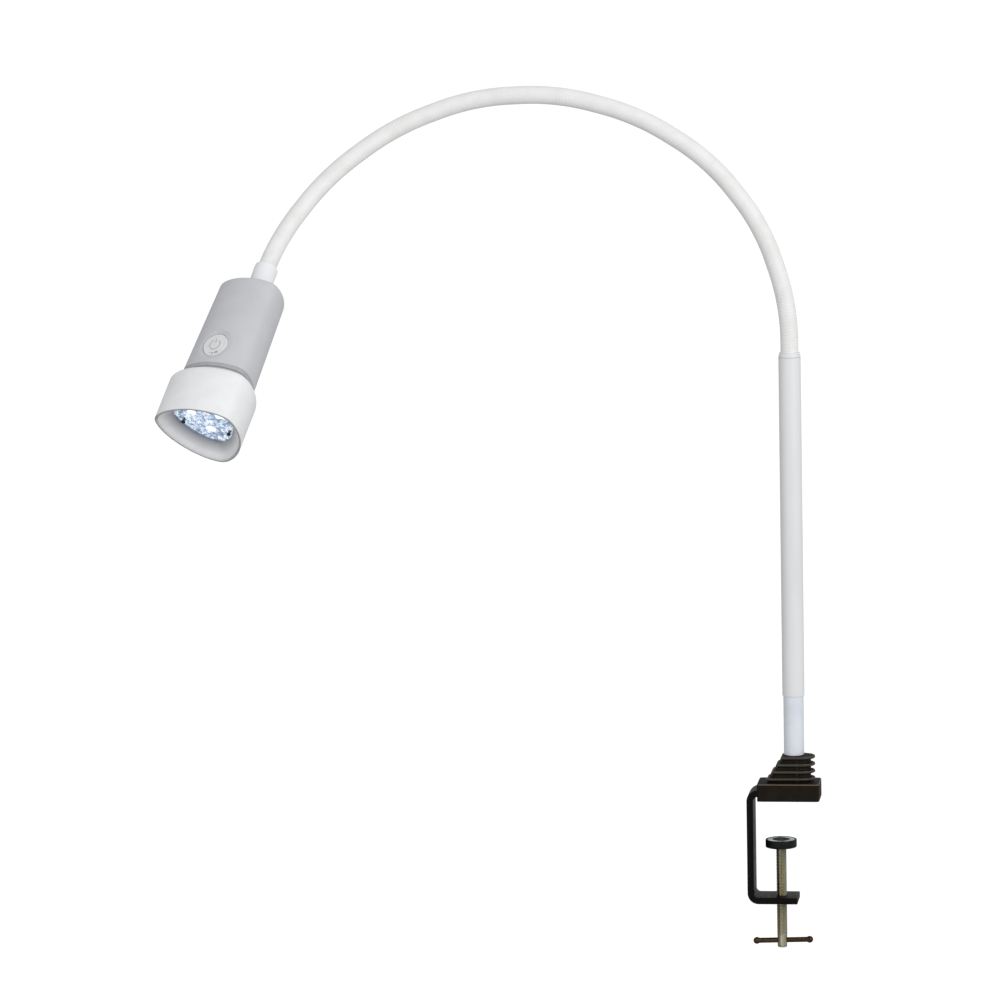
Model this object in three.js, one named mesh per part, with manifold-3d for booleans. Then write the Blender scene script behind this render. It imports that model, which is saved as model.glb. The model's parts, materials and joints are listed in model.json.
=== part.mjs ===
// Examination lamp: a table clamp, a swivelling mast, a gooseneck and an LED head.
// Millimetres, +Z up. The origin is on the upper jaw's face, where the clamp screw's axis meets it.
// The lamp reaches out over -X and its front is -Y.

import * as THREE from "three";
import { mergeVertices } from "three/addons/utils/BufferGeometryUtils.js";
import Module from "manifold-3d";

const wasm = await Module();
wasm.setup();

// ---------------------------------------------------------------- driving dimensions

const GAP = 0.3; // clearance between pieces that touch
const MAST_X = 14; // the mast's axis, beside the clamp screw's axis at X = 0

// clamp frame, a flat bar bent to a C
const BAR_WIDTH = 37;
const BAR_THICK = 6.6;
const BEND_RADIUS = 11;
const SPINE_X = -33; // outer face of the spine
const FRAME_TOP = 11;
const FRAME_BOTTOM = -104.3;
const UPPER_ARM_END = 36;
const LOWER_ARM_END = 17;

// hood over the upper arm
const HOOD_LEFT = -22.5;
const HOOD_RIGHT = 39.8;
const HOOD_DEPTH = 41;
const HOOD_BOTTOM = 0.2;
const HOOD_TOP = 18;
const HOOD_WALL = 1.7;
const HOOD_CORNER = 3;
const JAW_PAD_DEPTH = 32;

// ribbed tower on the hood
const TOWER_TOP = 44.5;
const FIN_THICK = 3.2;
const FIN_PITCH = 7.2;
const FIN_COUNT = 4;
const FIN_DEPTH = 26;
const FIN_OVERHANG = 2.6;
const FIN_END_OVERHANG = 4.2; // at the round right end
const FIN_RIGHT = MAST_X + 21;
const TOWER_LEFT_TOP = 2.3; // the left side slopes out from here ...
const TOWER_LEFT_BOTTOM = -15.2; // ... to here at the hood
const TOWER_RIB_X = 17.4;
const TOWER_RIB_WIDTH = 3.2;

// hood screws and mast retaining screw, all driven from below
const HOOD_SCREW_X = [MAST_X - 20, MAST_X + 13];
const HOOD_SCREW_TOP = 22;
const HOOD_SCREW_HEAD = 3; // radius
const SCREW_SHANK_RADIUS = 1.5;

// mast
const SPIGOT_RADIUS = 8;
const SPIGOT_BORE = 4.3;
const SPIGOT_BOTTOM = FRAME_TOP + 1;
const SHOULDER_Z = TOWER_TOP + GAP;
const TUBE_RADIUS = 10.1;
const TUBE_BORE = 8.5;
const TUBE_TOP = 423.7;
const SLEEVE_RADIUS = 11;
const SLEEVE_BORE = 10.4;
const SLEEVE_BOTTOM = 104.5;
const SLEEVE_TOP = 443;
const SOCKET_BOTTOM = TUBE_TOP + GAP;
const HOSE_START_Z = 448;
const SET_SCREW_Z = 434;
const GROMMET_Z = 75;
const BUSH_RADIUS = 9.3;

// clamp screw, pressure pad and tommy bar
const THREAD_RADIUS = 5.2;
const SCREW_END_RADIUS = 4.8;
const SCREW_BOTTOM = -151;
const THREAD_BOTTOM = -139;
const PAD_RADIUS = 15.65;
const PAD_TOP = -41;
const PAD_THICK = 8;
const PIVOT_PIN_RADIUS = 4;
const PIVOT_PIN_LENGTH = 4.7;
const TOMMY_Z = -144;
const TOMMY_OFFSET = 1; // how far the bar has slid through the screw
const TOMMY_TURN = 8; // degrees about the screw
const TOMMY_HALF_LENGTH = 30;
const TOMMY_RADIUS = 2.6;
const TOMMY_BALL_RADIUS = 3.5;

// gooseneck: equal segments, each a short straight stub and an arc, between the directions below
const HOSE_LENGTH = 743; // from the mast socket to the neck collar
const HOSE_STUB = 10.5; // straight length after each pivot
const HOSE_PITCH = [0, 18, 38, 57.5, 74.5, 92, 109.5, 126, 143, 163.2]; // degrees from +Z towards -X
const HOSE_YAW = [0, 0, 0, 0, 0, 0, 9, 19, 29, 39]; // degrees out of that plane towards -Y
const SHEATH_RADIUS = 8.75;
const SHEATH_BORE = 6.2;
const CORE_RADIUS = 5.9;
const CORE_BORE = 4;
const PIVOT_SPHERE = 10.5; // radius of the round end that the next segment turns on
const HOSE_IN_SOCKET = 21.7;
const HOSE_IN_COLLAR = 18;

// head: rounded-triangle sections along its own +Z, which points out of the shade
const HEAD_ROLL = -1; // degrees about its own axis
const LOBE = 0.046; // how far the section departs from a circle, as a part of its width
const SECTION_POINTS = 30;
const COLLAR_LENGTH = 33.7;
const COLLAR_RADIUS = 11.7;
const HOUSING_REAR_WIDTH = 65.6;
const HOUSING_FRONT_WIDTH = 71.6;
const HOUSING_LENGTH = 109.8;
const HOUSING_WALL = 3.4;
const HOUSING_EDGE = 4;
const REAR_WALL = 2.8;
const NECK_BORE = 7.8;
const SEAL_WIDTH = 70;
const SEAL_INNER = 62.2;
const SHADE_WIDTH = 87.2;
const SHADE_REAR = 113.8;
const SHADE_SHOULDER = 7;
const SHADE_WALL = 2;
const SHADE_FLOOR = SHADE_REAR + 2.7;
const HEAD_LENGTH = 167.5;
const WINDOW_WIDTH = 60.2;
const WINDOW_Z = 154; // front face of the window
const POCKET_WIDTH = 63.8;
const OPTIC_CIRCLE = 16.3;
const OPTIC_RADIUS = 12;
const OPTIC_ANGLES = [45, 165, 285];
const WINDOW_SCREW_ANGLES = [93.5, 207, 340];
const WINDOW_SCREW_CIRCLE = 25;
const WINDOW_SCREW_RADIUS = 1.3;
const HOUSING_SCREW_ANGLES = [60, 180];
const HOUSING_SCREW_CIRCLE = 31.6;
const BOARD_Z = 138; // rear face of the LED board
const BOARD_THICK = 1.6;

// power button, on the flat at 120 degrees
const BUTTON_ANGLE = 120;
const BUTTON_Z = 83.9;
const BUTTON_RADIUS = 13;
const BUTTON_TOP = 31; // distance of its face from the head's axis
const DISH_FLOOR = 30.2;
const DISH_RADIUS = 16.4;
const DRIVER_TOP = 14.8; // distance of the driver board's outer face from the head's axis

// ---------------------------------------------------------------- colours and finishes

const finish = (color, roughness, metalness = 0) => ({ color, roughness, metalness });
const BLACK_STEEL = finish(0x14110d, 0.35, 0.6);
const BLACK_PLASTIC = finish(0x231e18, 0.6);
const BLACK_RUBBER = finish(0x1c1c1d, 0.85);
const BRASS = finish(0xb08d4a, 0.35, 1);
const ZINC = finish(0x9b9884, 0.35, 1);
const BRONZED_STEEL = finish(0x3c3226, 0.3, 1);
const MAST_METAL = finish(0xdee2e6, 0.35, 0.2);
const PALE_PLASTIC = finish(0xdadcdb, 0.45);
const WHITE_VINYL = finish(0xe8e8e6, 0.5);
const SPRING_STEEL = finish(0x8a8d90, 0.3, 1);
const GREY_PLASTIC = finish(0xb9b9be, 0.5);
const WHITE_PLASTIC = finish(0xe9e9ea, 0.45);
const BAFFLE_GREY = finish(0xc4c4c6, 0.5);
const CLEAR = finish(0xdfe9f5, 0.08);
const CIRCUIT_GREEN = finish(0x1f5c3a, 0.5);
const ALUMINIUM = finish(0xb5b8ba, 0.4, 1);

// ---------------------------------------------------------------- geometry helpers

const radians = THREE.MathUtils.degToRad;
const lamp = new THREE.Group();

// Drops collapsed triangles and turns the faces outward.
function closed(geometry) {
  const bare = geometry.clone();
  bare.deleteAttribute("normal");
  bare.deleteAttribute("uv");
  const merged = mergeVertices(bare, 1e-5);
  const index = Array.from(merged.index.array);
  const place = merged.attributes.position;
  const kept = [];
  let volume = 0;
  const [a, b, c] = [new THREE.Vector3(), new THREE.Vector3(), new THREE.Vector3()];
  for (let i = 0; i < index.length; i += 3) {
    const [p, q, r] = [index[i], index[i + 1], index[i + 2]];
    if (p === q || q === r || p === r) continue;
    kept.push(p, q, r);
    a.fromBufferAttribute(place, p);
    b.fromBufferAttribute(place, q);
    c.fromBufferAttribute(place, r);
    volume += a.dot(b.cross(c));
  }
  if (volume < 0) kept.reverse();
  merged.setIndex(kept);
  return merged;
}

function toSolid(geometry) {
  const shape = closed(geometry);
  return new wasm.Manifold(new wasm.Mesh({
    numProp: 3,
    vertProperties: Float32Array.from(shape.attributes.position.array),
    triVerts: Uint32Array.from(shape.index.array),
  }));
}

function toGeometry(solid) {
  const mesh = solid.getMesh();
  const geometry = new THREE.BufferGeometry();
  geometry.setAttribute("position", new THREE.BufferAttribute(mesh.vertProperties, 3));
  geometry.setIndex(Array.from(mesh.triVerts));
  return geometry;
}

// Takes the tools away from the piece.
function cut(piece, ...tools) {
  const rest = tools.reduce((solid, tool) => solid.subtract(toSolid(tool)), toSolid(piece));
  return toGeometry(rest);
}

function join(piece, ...others) {
  const whole = others.reduce((solid, other) => solid.add(toSolid(other)), toSolid(piece));
  return toGeometry(whole);
}

function common(piece, other) {
  return toGeometry(toSolid(piece).intersect(toSolid(other)));
}

// Names a mesh, gives it its own material and adds it to a group.
function add(name, geometry, look, group = lamp) {
  const mesh = new THREE.Mesh(closed(geometry), new THREE.MeshStandardMaterial(look));
  mesh.name = name;
  group.add(mesh);
  return mesh;
}

function box(x0, x1, y0, y1, z0, z1) {
  const geometry = new THREE.BoxGeometry(x1 - x0, y1 - y0, z1 - z0);
  return geometry.translate((x0 + x1) / 2, (y0 + y1) / 2, (z0 + z1) / 2);
}

// A solid of revolution about Z from [radius, z] points that start and end on the axis,
// or that close on themselves.
function turned(profile, sides = 20) {
  const points = profile.map(([radius, z]) => new THREE.Vector2(radius, z));
  return new THREE.LatheGeometry(points, sides).rotateX(Math.PI / 2);
}

function rod(radius, z0, z1, x = 0, y = 0, sides = 20) {
  return turned([[0, z0], [radius, z0], [radius, z1], [0, z1]], sides).translate(x, y, 0);
}

// Extrudes an outline in X, Z across Y, centred on Y = 0.
function acrossY(shape, width) {
  const geometry = new THREE.ExtrudeGeometry(shape, { depth: width, bevelEnabled: false, curveSegments: 5 });
  return geometry.rotateX(Math.PI / 2).translate(0, width / 2, 0);
}

// Extrudes an outline in X, Y up from z0 to z1.
function upZ(shape, z0, z1) {
  const settings = { depth: z1 - z0, bevelEnabled: false, curveSegments: 5 };
  return new THREE.ExtrudeGeometry(shape, settings).translate(0, 0, z0);
}

function polygon(points) {
  return new THREE.Shape(points.map(([x, y]) => new THREE.Vector2(x, y)));
}

// A rectangle with round corners, as a path in X, Y.
function roundedRectangle(x0, x1, y0, y1, radius) {
  const shape = new THREE.Shape();
  shape.moveTo(x0 + radius, y0);
  shape.lineTo(x1 - radius, y0);
  shape.absarc(x1 - radius, y0 + radius, radius, -Math.PI / 2, 0);
  shape.lineTo(x1, y1 - radius);
  shape.absarc(x1 - radius, y1 - radius, radius, 0, Math.PI / 2);
  shape.lineTo(x0 + radius, y1);
  shape.absarc(x0 + radius, y1 - radius, radius, Math.PI / 2, Math.PI);
  shape.lineTo(x0, y0 + radius);
  shape.absarc(x0 + radius, y0 + radius, radius, Math.PI, 1.5 * Math.PI);
  return shape;
}

// Skins rings of points that run round a closed loop, each ring joined to the next.
function skin(rings) {
  const count = rings[0].length;
  const positions = rings.flat().flatMap((point) => point.toArray());
  const index = [];
  for (let i = 0; i < rings.length; i++) {
    const next = (i + 1) % rings.length;
    for (let j = 0; j < count; j++) {
      const k = (j + 1) % count;
      const [a, b, c, d] = [i * count + j, i * count + k, next * count + k, next * count + j];
      index.push(a, b, c, a, c, d);
    }
  }
  const geometry = new THREE.BufferGeometry();
  geometry.setAttribute("position", new THREE.Float32BufferAttribute(positions, 3));
  geometry.setIndex(index);
  return geometry;
}

// ---------------------------------------------------------------- clamp

function clampFrame() {
  const inner = BEND_RADIUS - BAR_THICK;
  const bendX = SPINE_X + BEND_RADIUS;
  const upper = FRAME_TOP - BEND_RADIUS;
  const lower = FRAME_BOTTOM + BEND_RADIUS;
  const outline = new THREE.Shape();
  outline.moveTo(UPPER_ARM_END, FRAME_TOP);
  outline.lineTo(bendX, FRAME_TOP);
  outline.absarc(bendX, upper, BEND_RADIUS, Math.PI / 2, Math.PI);
  outline.lineTo(SPINE_X, lower);
  outline.absarc(bendX, lower, BEND_RADIUS, Math.PI, 1.5 * Math.PI);
  outline.lineTo(LOWER_ARM_END, FRAME_BOTTOM);
  outline.lineTo(LOWER_ARM_END, FRAME_BOTTOM + BAR_THICK);
  outline.lineTo(bendX, FRAME_BOTTOM + BAR_THICK);
  outline.absarc(bendX, lower, inner, 1.5 * Math.PI, Math.PI, true);
  outline.lineTo(SPINE_X + BAR_THICK, upper);
  outline.absarc(bendX, upper, inner, Math.PI, Math.PI / 2, true);
  outline.lineTo(UPPER_ARM_END, FRAME_TOP - BAR_THICK);
  const bar = acrossY(outline, BAR_WIDTH);
  const screwHole = rod(THREAD_RADIUS + GAP, FRAME_BOTTOM - 1, FRAME_BOTTOM + BAR_THICK + 1);
  const retainerHole = rod(SPIGOT_BORE, 0, FRAME_TOP + 1, MAST_X);
  const hoodHoles = HOOD_SCREW_X.map((x) => rod(SCREW_SHANK_RADIUS + GAP, 0, FRAME_TOP + 1, x, 0, 12));
  add("clamp_frame", cut(bar, screwHole, retainerHole, ...hoodHoles), BLACK_STEEL);
}

function clampHood() {
  const half = HOOD_DEPTH / 2;
  const inner = half - HOOD_WALL;
  const outline = roundedRectangle(HOOD_LEFT, HOOD_RIGHT, -half, half, HOOD_CORNER);
  const hollow = box(HOOD_LEFT + HOOD_WALL, HOOD_RIGHT - HOOD_WALL, -inner, inner, -1, HOOD_TOP - HOOD_WALL);
  const slotHalf = BAR_WIDTH / 2 + GAP;
  const slot = box(HOOD_LEFT - 1, HOOD_LEFT + HOOD_WALL + 1, -slotHalf, slotHalf, -1, FRAME_TOP + GAP);
  const shell = cut(upZ(outline, HOOD_BOTTOM, HOOD_TOP), hollow, slot);
  const bossTop = HOOD_TOP - HOOD_WALL + 0.5;
  const bosses = HOOD_SCREW_X.map((x) => rod(3.5, FRAME_TOP + GAP, bossTop, x, 0, 16));
  const holes = HOOD_SCREW_X.map((x) => rod(SCREW_SHANK_RADIUS + GAP, 0, HOOD_TOP + 1, x, 0, 12));
  const bushHole = rod(BUSH_RADIUS + GAP, FRAME_TOP, HOOD_TOP + 1, MAST_X);
  add("clamp_hood", cut(join(shell, ...bosses), ...holes, bushHole), BLACK_PLASTIC);
}

// One slice of the tower: a plan with a round right end, cut by the sloping left side.
function towerSlice(inset, endInset, z0, z1) {
  const half = FIN_DEPTH / 2 - inset;
  const right = FIN_RIGHT - endInset;
  const slope = (TOWER_LEFT_BOTTOM - TOWER_LEFT_TOP) / (HOOD_TOP - TOWER_TOP);
  const leftAt = (z) => TOWER_LEFT_TOP + inset + slope * (z - TOWER_TOP);
  const plan = new THREE.Shape();
  plan.moveTo(TOWER_LEFT_BOTTOM - 5, -half);
  plan.lineTo(right - half, -half);
  plan.absarc(right - half, 0, half, -Math.PI / 2, Math.PI / 2);
  plan.lineTo(TOWER_LEFT_BOTTOM - 5, half);
  const side = polygon([[leftAt(z0), z0], [right + 1, z0], [right + 1, z1], [leftAt(z1), z1]]);
  return common(upZ(plan, z0, z1), acrossY(side, FIN_DEPTH + 2));
}

function ribbedTower() {
  const bottom = HOOD_TOP + GAP;
  const fins = [];
  for (let i = 0; i < FIN_COUNT; i++) {
    const top = TOWER_TOP - i * FIN_PITCH;
    fins.push(towerSlice(0, 0, top - FIN_THICK, top));
  }
  const ribHalf = FIN_DEPTH / 2 - 0.6;
  const ribLeft = TOWER_RIB_X - TOWER_RIB_WIDTH / 2;
  const rib = box(ribLeft, ribLeft + TOWER_RIB_WIDTH, -ribHalf, ribHalf, bottom, TOWER_TOP - 1);
  const core = towerSlice(FIN_OVERHANG, FIN_END_OVERHANG, bottom, TOWER_TOP);
  const body = join(core, ...fins, rib);
  const bushBore = rod(BUSH_RADIUS + GAP, bottom - 1, TOWER_TOP + 1, MAST_X);
  const holeTop = HOOD_SCREW_TOP + 1;
  const holes = HOOD_SCREW_X.map((x) => rod(SCREW_SHANK_RADIUS + GAP, bottom - 1, holeTop, x, 0, 12));
  add("ribbed_tower", cut(body, bushBore, ...holes), BLACK_PLASTIC);
}

function jawPad() {
  const top = FRAME_TOP - BAR_THICK - GAP;
  const outline = roundedRectangle(-17, UPPER_ARM_END - 1, -JAW_PAD_DEPTH / 2, JAW_PAD_DEPTH / 2, 3);
  const retainerRecess = rod(7.6, -1, top + 1, MAST_X);
  const screwRecesses = HOOD_SCREW_X.map((x) => rod(HOOD_SCREW_HEAD + 0.8, -1, top + 1, x, 0, 16));
  add("jaw_pad", cut(upZ(outline, 0, top), retainerRecess, ...screwRecesses), BLACK_RUBBER);
}

function clampFasteners() {
  const underArm = FRAME_TOP - BAR_THICK - GAP;
  HOOD_SCREW_X.forEach((x, i) => {
    const profile = [
      [0, underArm - 2.2], [HOOD_SCREW_HEAD, underArm - 2.2], [HOOD_SCREW_HEAD, underArm],
      [SCREW_SHANK_RADIUS, underArm], [SCREW_SHANK_RADIUS, HOOD_SCREW_TOP], [0, HOOD_SCREW_TOP],
    ];
    const recess = box(x - 1.8, x + 1.8, -0.4, 0.4, underArm - 3, underArm - 1.2);
    add(`hood_screw_${i + 1}`, cut(turned(profile, 12).translate(x, 0, 0), recess), ZINC);
  });
}

function mastBush() {
  const bottom = FRAME_TOP + GAP;
  const profile = [
    [SPIGOT_RADIUS + GAP, bottom], [BUSH_RADIUS, bottom], [BUSH_RADIUS, SHOULDER_Z - GAP],
    [SPIGOT_RADIUS + GAP, SHOULDER_Z - GAP], [SPIGOT_RADIUS + GAP, bottom],
  ];
  add("mast_bush", turned(profile).translate(MAST_X, 0, 0), BRASS);
}

// ---------------------------------------------------------------- clamp screw

function clampScrew() {
  const shoulder = PAD_TOP - PAD_THICK - GAP;
  const profile = [
    [0, SCREW_BOTTOM], [SCREW_END_RADIUS - 0.8, SCREW_BOTTOM], [SCREW_END_RADIUS, SCREW_BOTTOM + 0.8],
    [SCREW_END_RADIUS, THREAD_BOTTOM], [THREAD_RADIUS, THREAD_BOTTOM + 0.5],
    [THREAD_RADIUS, shoulder - 0.5], [PIVOT_PIN_RADIUS, shoulder],
    [PIVOT_PIN_RADIUS, shoulder + PIVOT_PIN_LENGTH], [0, shoulder + PIVOT_PIN_LENGTH],
  ];
  const crossHole = rod(TOMMY_RADIUS + GAP, -8, 8, 0, 0, 16).rotateY(Math.PI / 2);
  crossHole.rotateZ(radians(TOMMY_TURN)).translate(0, 0, TOMMY_Z);
  add("clamp_screw", cut(turned(profile), crossHole), ZINC);
}

function pressurePad() {
  const bottom = PAD_TOP - PAD_THICK;
  const socketTop = bottom - GAP + PIVOT_PIN_LENGTH + GAP;
  const socket = PIVOT_PIN_RADIUS + GAP;
  const profile = [
    [0, socketTop], [socket, socketTop], [socket, bottom], [PAD_RADIUS - 0.8, bottom],
    [PAD_RADIUS, bottom + 0.8], [PAD_RADIUS, PAD_TOP - 0.6], [PAD_RADIUS - 0.6, PAD_TOP], [0, PAD_TOP],
  ];
  add("pressure_pad", turned(profile, 28), BLACK_PLASTIC);
}

function tommyBar() {
  const centre = TOMMY_HALF_LENGTH - TOMMY_BALL_RADIUS;
  const neck = Math.asin(TOMMY_RADIUS / TOMMY_BALL_RADIUS);
  const half = [];
  for (let i = 0; i <= 6; i++) {
    const angle = ((Math.PI - neck) * i) / 6;
    half.push([TOMMY_BALL_RADIUS * Math.sin(angle), centre + TOMMY_BALL_RADIUS * Math.cos(angle)]);
  }
  const mirrored = half.map(([radius, z]) => [radius, -z]).reverse();
  const bar = turned([...half, ...mirrored], 16).rotateY(Math.PI / 2);
  bar.translate(TOMMY_OFFSET, 0, 0).rotateZ(radians(TOMMY_TURN)).translate(0, 0, TOMMY_Z);
  add("tommy_bar", bar, BRONZED_STEEL);
}

// ---------------------------------------------------------------- mast

function mastRetainingScrew() {
  const underArm = FRAME_TOP - BAR_THICK - GAP;
  const shank = SPIGOT_BORE - GAP;
  const profile = [[0, 0.8], [6.5, 0.8], [6.5, underArm], [shank, underArm], [shank, 27], [0, 27]];
  const socket = turned([[0, 0], [3, 0], [3, 3], [0, 3]], 6);
  add("mast_retaining_screw", cut(turned(profile), socket).translate(MAST_X, 0, 0), ZINC);
}

function mastTube() {
  const profile = [
    [SPIGOT_BORE, SPIGOT_BOTTOM], [SPIGOT_RADIUS, SPIGOT_BOTTOM], [SPIGOT_RADIUS, SHOULDER_Z],
    [TUBE_RADIUS, SHOULDER_Z], [TUBE_RADIUS, TUBE_TOP], [TUBE_BORE, TUBE_TOP],
    [TUBE_BORE, SHOULDER_Z + 6], [SPIGOT_BORE, SHOULDER_Z - 4], [SPIGOT_BORE, SPIGOT_BOTTOM],
  ];
  const inlet = rod(4.3, 0, 20, 0, 0, 16).rotateX(-Math.PI / 2).translate(0, 0, GROMMET_Z);
  add("spigot_tube", cut(turned(profile, 24), inlet).translate(MAST_X, 0, 0), MAST_METAL);
}

function setScrewHole() {
  return rod(2.3, 5, 15, 0, 0, 12).rotateX(-Math.PI / 2).translate(0, 0, SET_SCREW_Z);
}

function mastSleeve() {
  const profile = [
    [SLEEVE_BORE, SLEEVE_BOTTOM], [SLEEVE_RADIUS - 0.4, SLEEVE_BOTTOM], [SLEEVE_RADIUS, SLEEVE_BOTTOM + 0.8],
    [SLEEVE_RADIUS, SLEEVE_TOP], [SLEEVE_BORE, SLEEVE_TOP], [SLEEVE_BORE, SLEEVE_BOTTOM],
  ];
  add("mast_sleeve", cut(turned(profile, 24), setScrewHole()).translate(MAST_X, 0, 0), PALE_PLASTIC);
}

function hoseSocket() {
  const bore = SHEATH_RADIUS + GAP;
  const profile = [
    [5, SOCKET_BOTTOM], [TUBE_RADIUS, SOCKET_BOTTOM], [TUBE_RADIUS, SLEEVE_TOP + GAP],
    [SLEEVE_RADIUS, SLEEVE_TOP + GAP], [SLEEVE_RADIUS, SLEEVE_TOP + 1], [bore + 0.4, HOSE_START_Z],
    [bore, HOSE_START_Z], [bore, SOCKET_BOTTOM + 2], [5, SOCKET_BOTTOM + 2], [5, SOCKET_BOTTOM],
  ];
  add("hose_socket", cut(turned(profile, 24), setScrewHole()).translate(MAST_X, 0, 0), PALE_PLASTIC);
}

function socketSetScrew() {
  const inner = SHEATH_RADIUS + GAP;
  const screw = rod(2, inner, SLEEVE_RADIUS - 0.3, 0, 0, 12);
  const hex = turned([[0, SLEEVE_RADIUS - 1.3], [1, SLEEVE_RADIUS - 1.3], [1, 20], [0, 20]], 6);
  const lying = cut(screw, hex).rotateX(-Math.PI / 2);
  add("socket_set_screw", lying.translate(MAST_X, 0, SET_SCREW_Z), ZINC);
}

function cableGrommet() {
  const profile = [
    [2.5, 6.8], [4, 6.8], [4, 10.4], [6, 10.4], [6, 12.6], [4.4, 16], [2.5, 16], [2.5, 6.8],
  ];
  const lying = turned(profile, 20).rotateX(-Math.PI / 2);
  add("cable_grommet", lying.translate(MAST_X, 0, GROMMET_Z), BLACK_RUBBER);
}

// ---------------------------------------------------------------- gooseneck

const SEGMENTS = HOSE_PITCH.length - 1;
const SEGMENT_LENGTH = HOSE_LENGTH / SEGMENTS;

function hoseDirection(i) {
  const pitch = radians(HOSE_PITCH[i]);
  const yaw = radians(HOSE_YAW[i]);
  return new THREE.Vector3(-Math.sin(pitch) * Math.cos(yaw), -Math.sin(yaw), Math.cos(pitch) * Math.cos(yaw));
}

// The arc that turns from one direction to the next: place, direction and side vector along it.
function arcStation(start, from, to, length, part) {
  const angle = from.angleTo(to);
  const axis = new THREE.Vector3().crossVectors(from, to).normalize();
  const inward = new THREE.Vector3().crossVectors(axis, from);
  const radius = length / angle;
  const turn = angle * part;
  const place = start.clone().addScaledVector(from, radius * Math.sin(turn));
  place.addScaledVector(inward, radius * (1 - Math.cos(turn)));
  const direction = from.clone().applyAxisAngle(axis, turn);
  return { place, direction, side: axis };
}

// Every segment's start point, arc start and end directions.
function hoseRoute() {
  const route = [];
  let start = new THREE.Vector3(MAST_X, 0, HOSE_START_Z);
  for (let i = 0; i < SEGMENTS; i++) {
    const [from, to] = [hoseDirection(i), hoseDirection(i + 1)];
    const arcStart = start.clone().addScaledVector(from, HOSE_STUB);
    const arcLength = SEGMENT_LENGTH - HOSE_STUB;
    const station = (part) => arcStation(arcStart, from, to, arcLength, part);
    route.push({ start, from, to, station });
    start = station(1).place;
  }
  return { route, end: start };
}

function hoop(station, along, radius, sides) {
  const { place, direction, side } = station;
  const centre = place.clone().addScaledVector(direction, along);
  const across = new THREE.Vector3().crossVectors(direction, side);
  const points = [];
  for (let i = 0; i < sides; i++) {
    const angle = (2 * Math.PI * i) / sides;
    const point = centre.clone().addScaledVector(side, radius * Math.cos(angle));
    points.push(point.addScaledVector(across, radius * Math.sin(angle)));
  }
  return points;
}

// A tube along one segment. Its far end is a round face that the next segment's hollow face turns on.
function hoseTube(segment, i, outer, inner, sides) {
  const steps = 3;
  const first = { place: segment.start, direction: segment.from, side: segment.station(0).side };
  const last = segment.station(1);
  const reach = (sphere, radius) => Math.sqrt(sphere * sphere - radius * radius);
  const hollow = (radius) => (i === 0 ? -HOSE_IN_SOCKET : reach(PIVOT_SPHERE + GAP, radius));
  const rounded = (radius) => (i === SEGMENTS - 1 ? HOSE_IN_COLLAR : reach(PIVOT_SPHERE, radius));
  const along = [];
  for (let k = 0; k <= steps; k++) along.push(segment.station(k / steps));
  return skin([
    ...[inner, outer].map((radius) => hoop(first, hollow(radius), radius, sides)),
    ...along.map((station) => hoop(station, 0, outer, sides)),
    ...[outer, inner].map((radius) => hoop(last, rounded(radius), radius, sides)),
    ...along.reverse().map((station) => hoop(station, 0, inner, sides)),
  ]);
}

const { route, end: hoseEnd } = hoseRoute();

function gooseneck() {
  route.forEach((segment, i) => {
    add(`hose_sheath_${i + 1}`, hoseTube(segment, i, SHEATH_RADIUS, SHEATH_BORE, 14), WHITE_VINYL);
    add(`hose_core_${i + 1}`, hoseTube(segment, i, CORE_RADIUS, CORE_BORE, 8), SPRING_STEEL);
  });
}

// ---------------------------------------------------------------- head sections

// A rounded triangle of constant width, with corners at 60, 180 and 300 degrees.
function section(width, z) {
  const points = [];
  for (let i = 0; i < SECTION_POINTS; i++) {
    const angle = (2 * Math.PI * i) / SECTION_POINTS;
    const wave = 3 * (angle - Math.PI / 3);
    const reach = width / 2 + LOBE * width * Math.cos(wave);
    const slide = -3 * LOBE * width * Math.sin(wave);
    const x = reach * Math.cos(angle) - slide * Math.sin(angle);
    const y = reach * Math.sin(angle) + slide * Math.cos(angle);
    points.push(new THREE.Vector3(x, y, z));
  }
  return points;
}

// A solid whose sections are rounded triangles, from [width, z] points that run round its wall,
// or that start and end on the axis.
function lobed(profile) {
  return skin(profile.map(([width, z]) => section(width, z)));
}

function lobedPlate(width, z0, z1) {
  return lobed([[0, z0], [width, z0], [width, z1], [0, z1]]);
}

// [width, z] points of a quarter-round rear edge that ends on the full width.
function roundedEdge(width, z, radius, steps) {
  const points = [];
  for (let i = 0; i <= steps; i++) {
    const angle = (Math.PI / 2) * (i / steps);
    points.push([width - 2 * radius * (1 - Math.sin(angle)), z + radius * (1 - Math.cos(angle))]);
  }
  return points;
}

function polar(radius, degrees) {
  return [radius * Math.cos(radians(degrees)), radius * Math.sin(radians(degrees))];
}

// Lays a piece that was made along +Z so that it points out of the button's flat.
function towardsButton(geometry) {
  return geometry.rotateY(Math.PI / 2).rotateZ(radians(BUTTON_ANGLE)).translate(0, 0, BUTTON_Z);
}

const head = new THREE.Group();

function placeHead() {
  const axis = hoseDirection(SEGMENTS);
  const pitch = radians(HOSE_PITCH[SEGMENTS]);
  const across = new THREE.Vector3(-Math.cos(pitch), 0, -Math.sin(pitch));
  across.applyAxisAngle(axis, radians(HEAD_ROLL));
  const upward = new THREE.Vector3().crossVectors(axis, across);
  head.quaternion.setFromRotationMatrix(new THREE.Matrix4().makeBasis(across, upward, axis));
  head.position.copy(hoseEnd).addScaledVector(axis, COLLAR_LENGTH);
  lamp.add(head);
}

// ---------------------------------------------------------------- head shells

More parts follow.
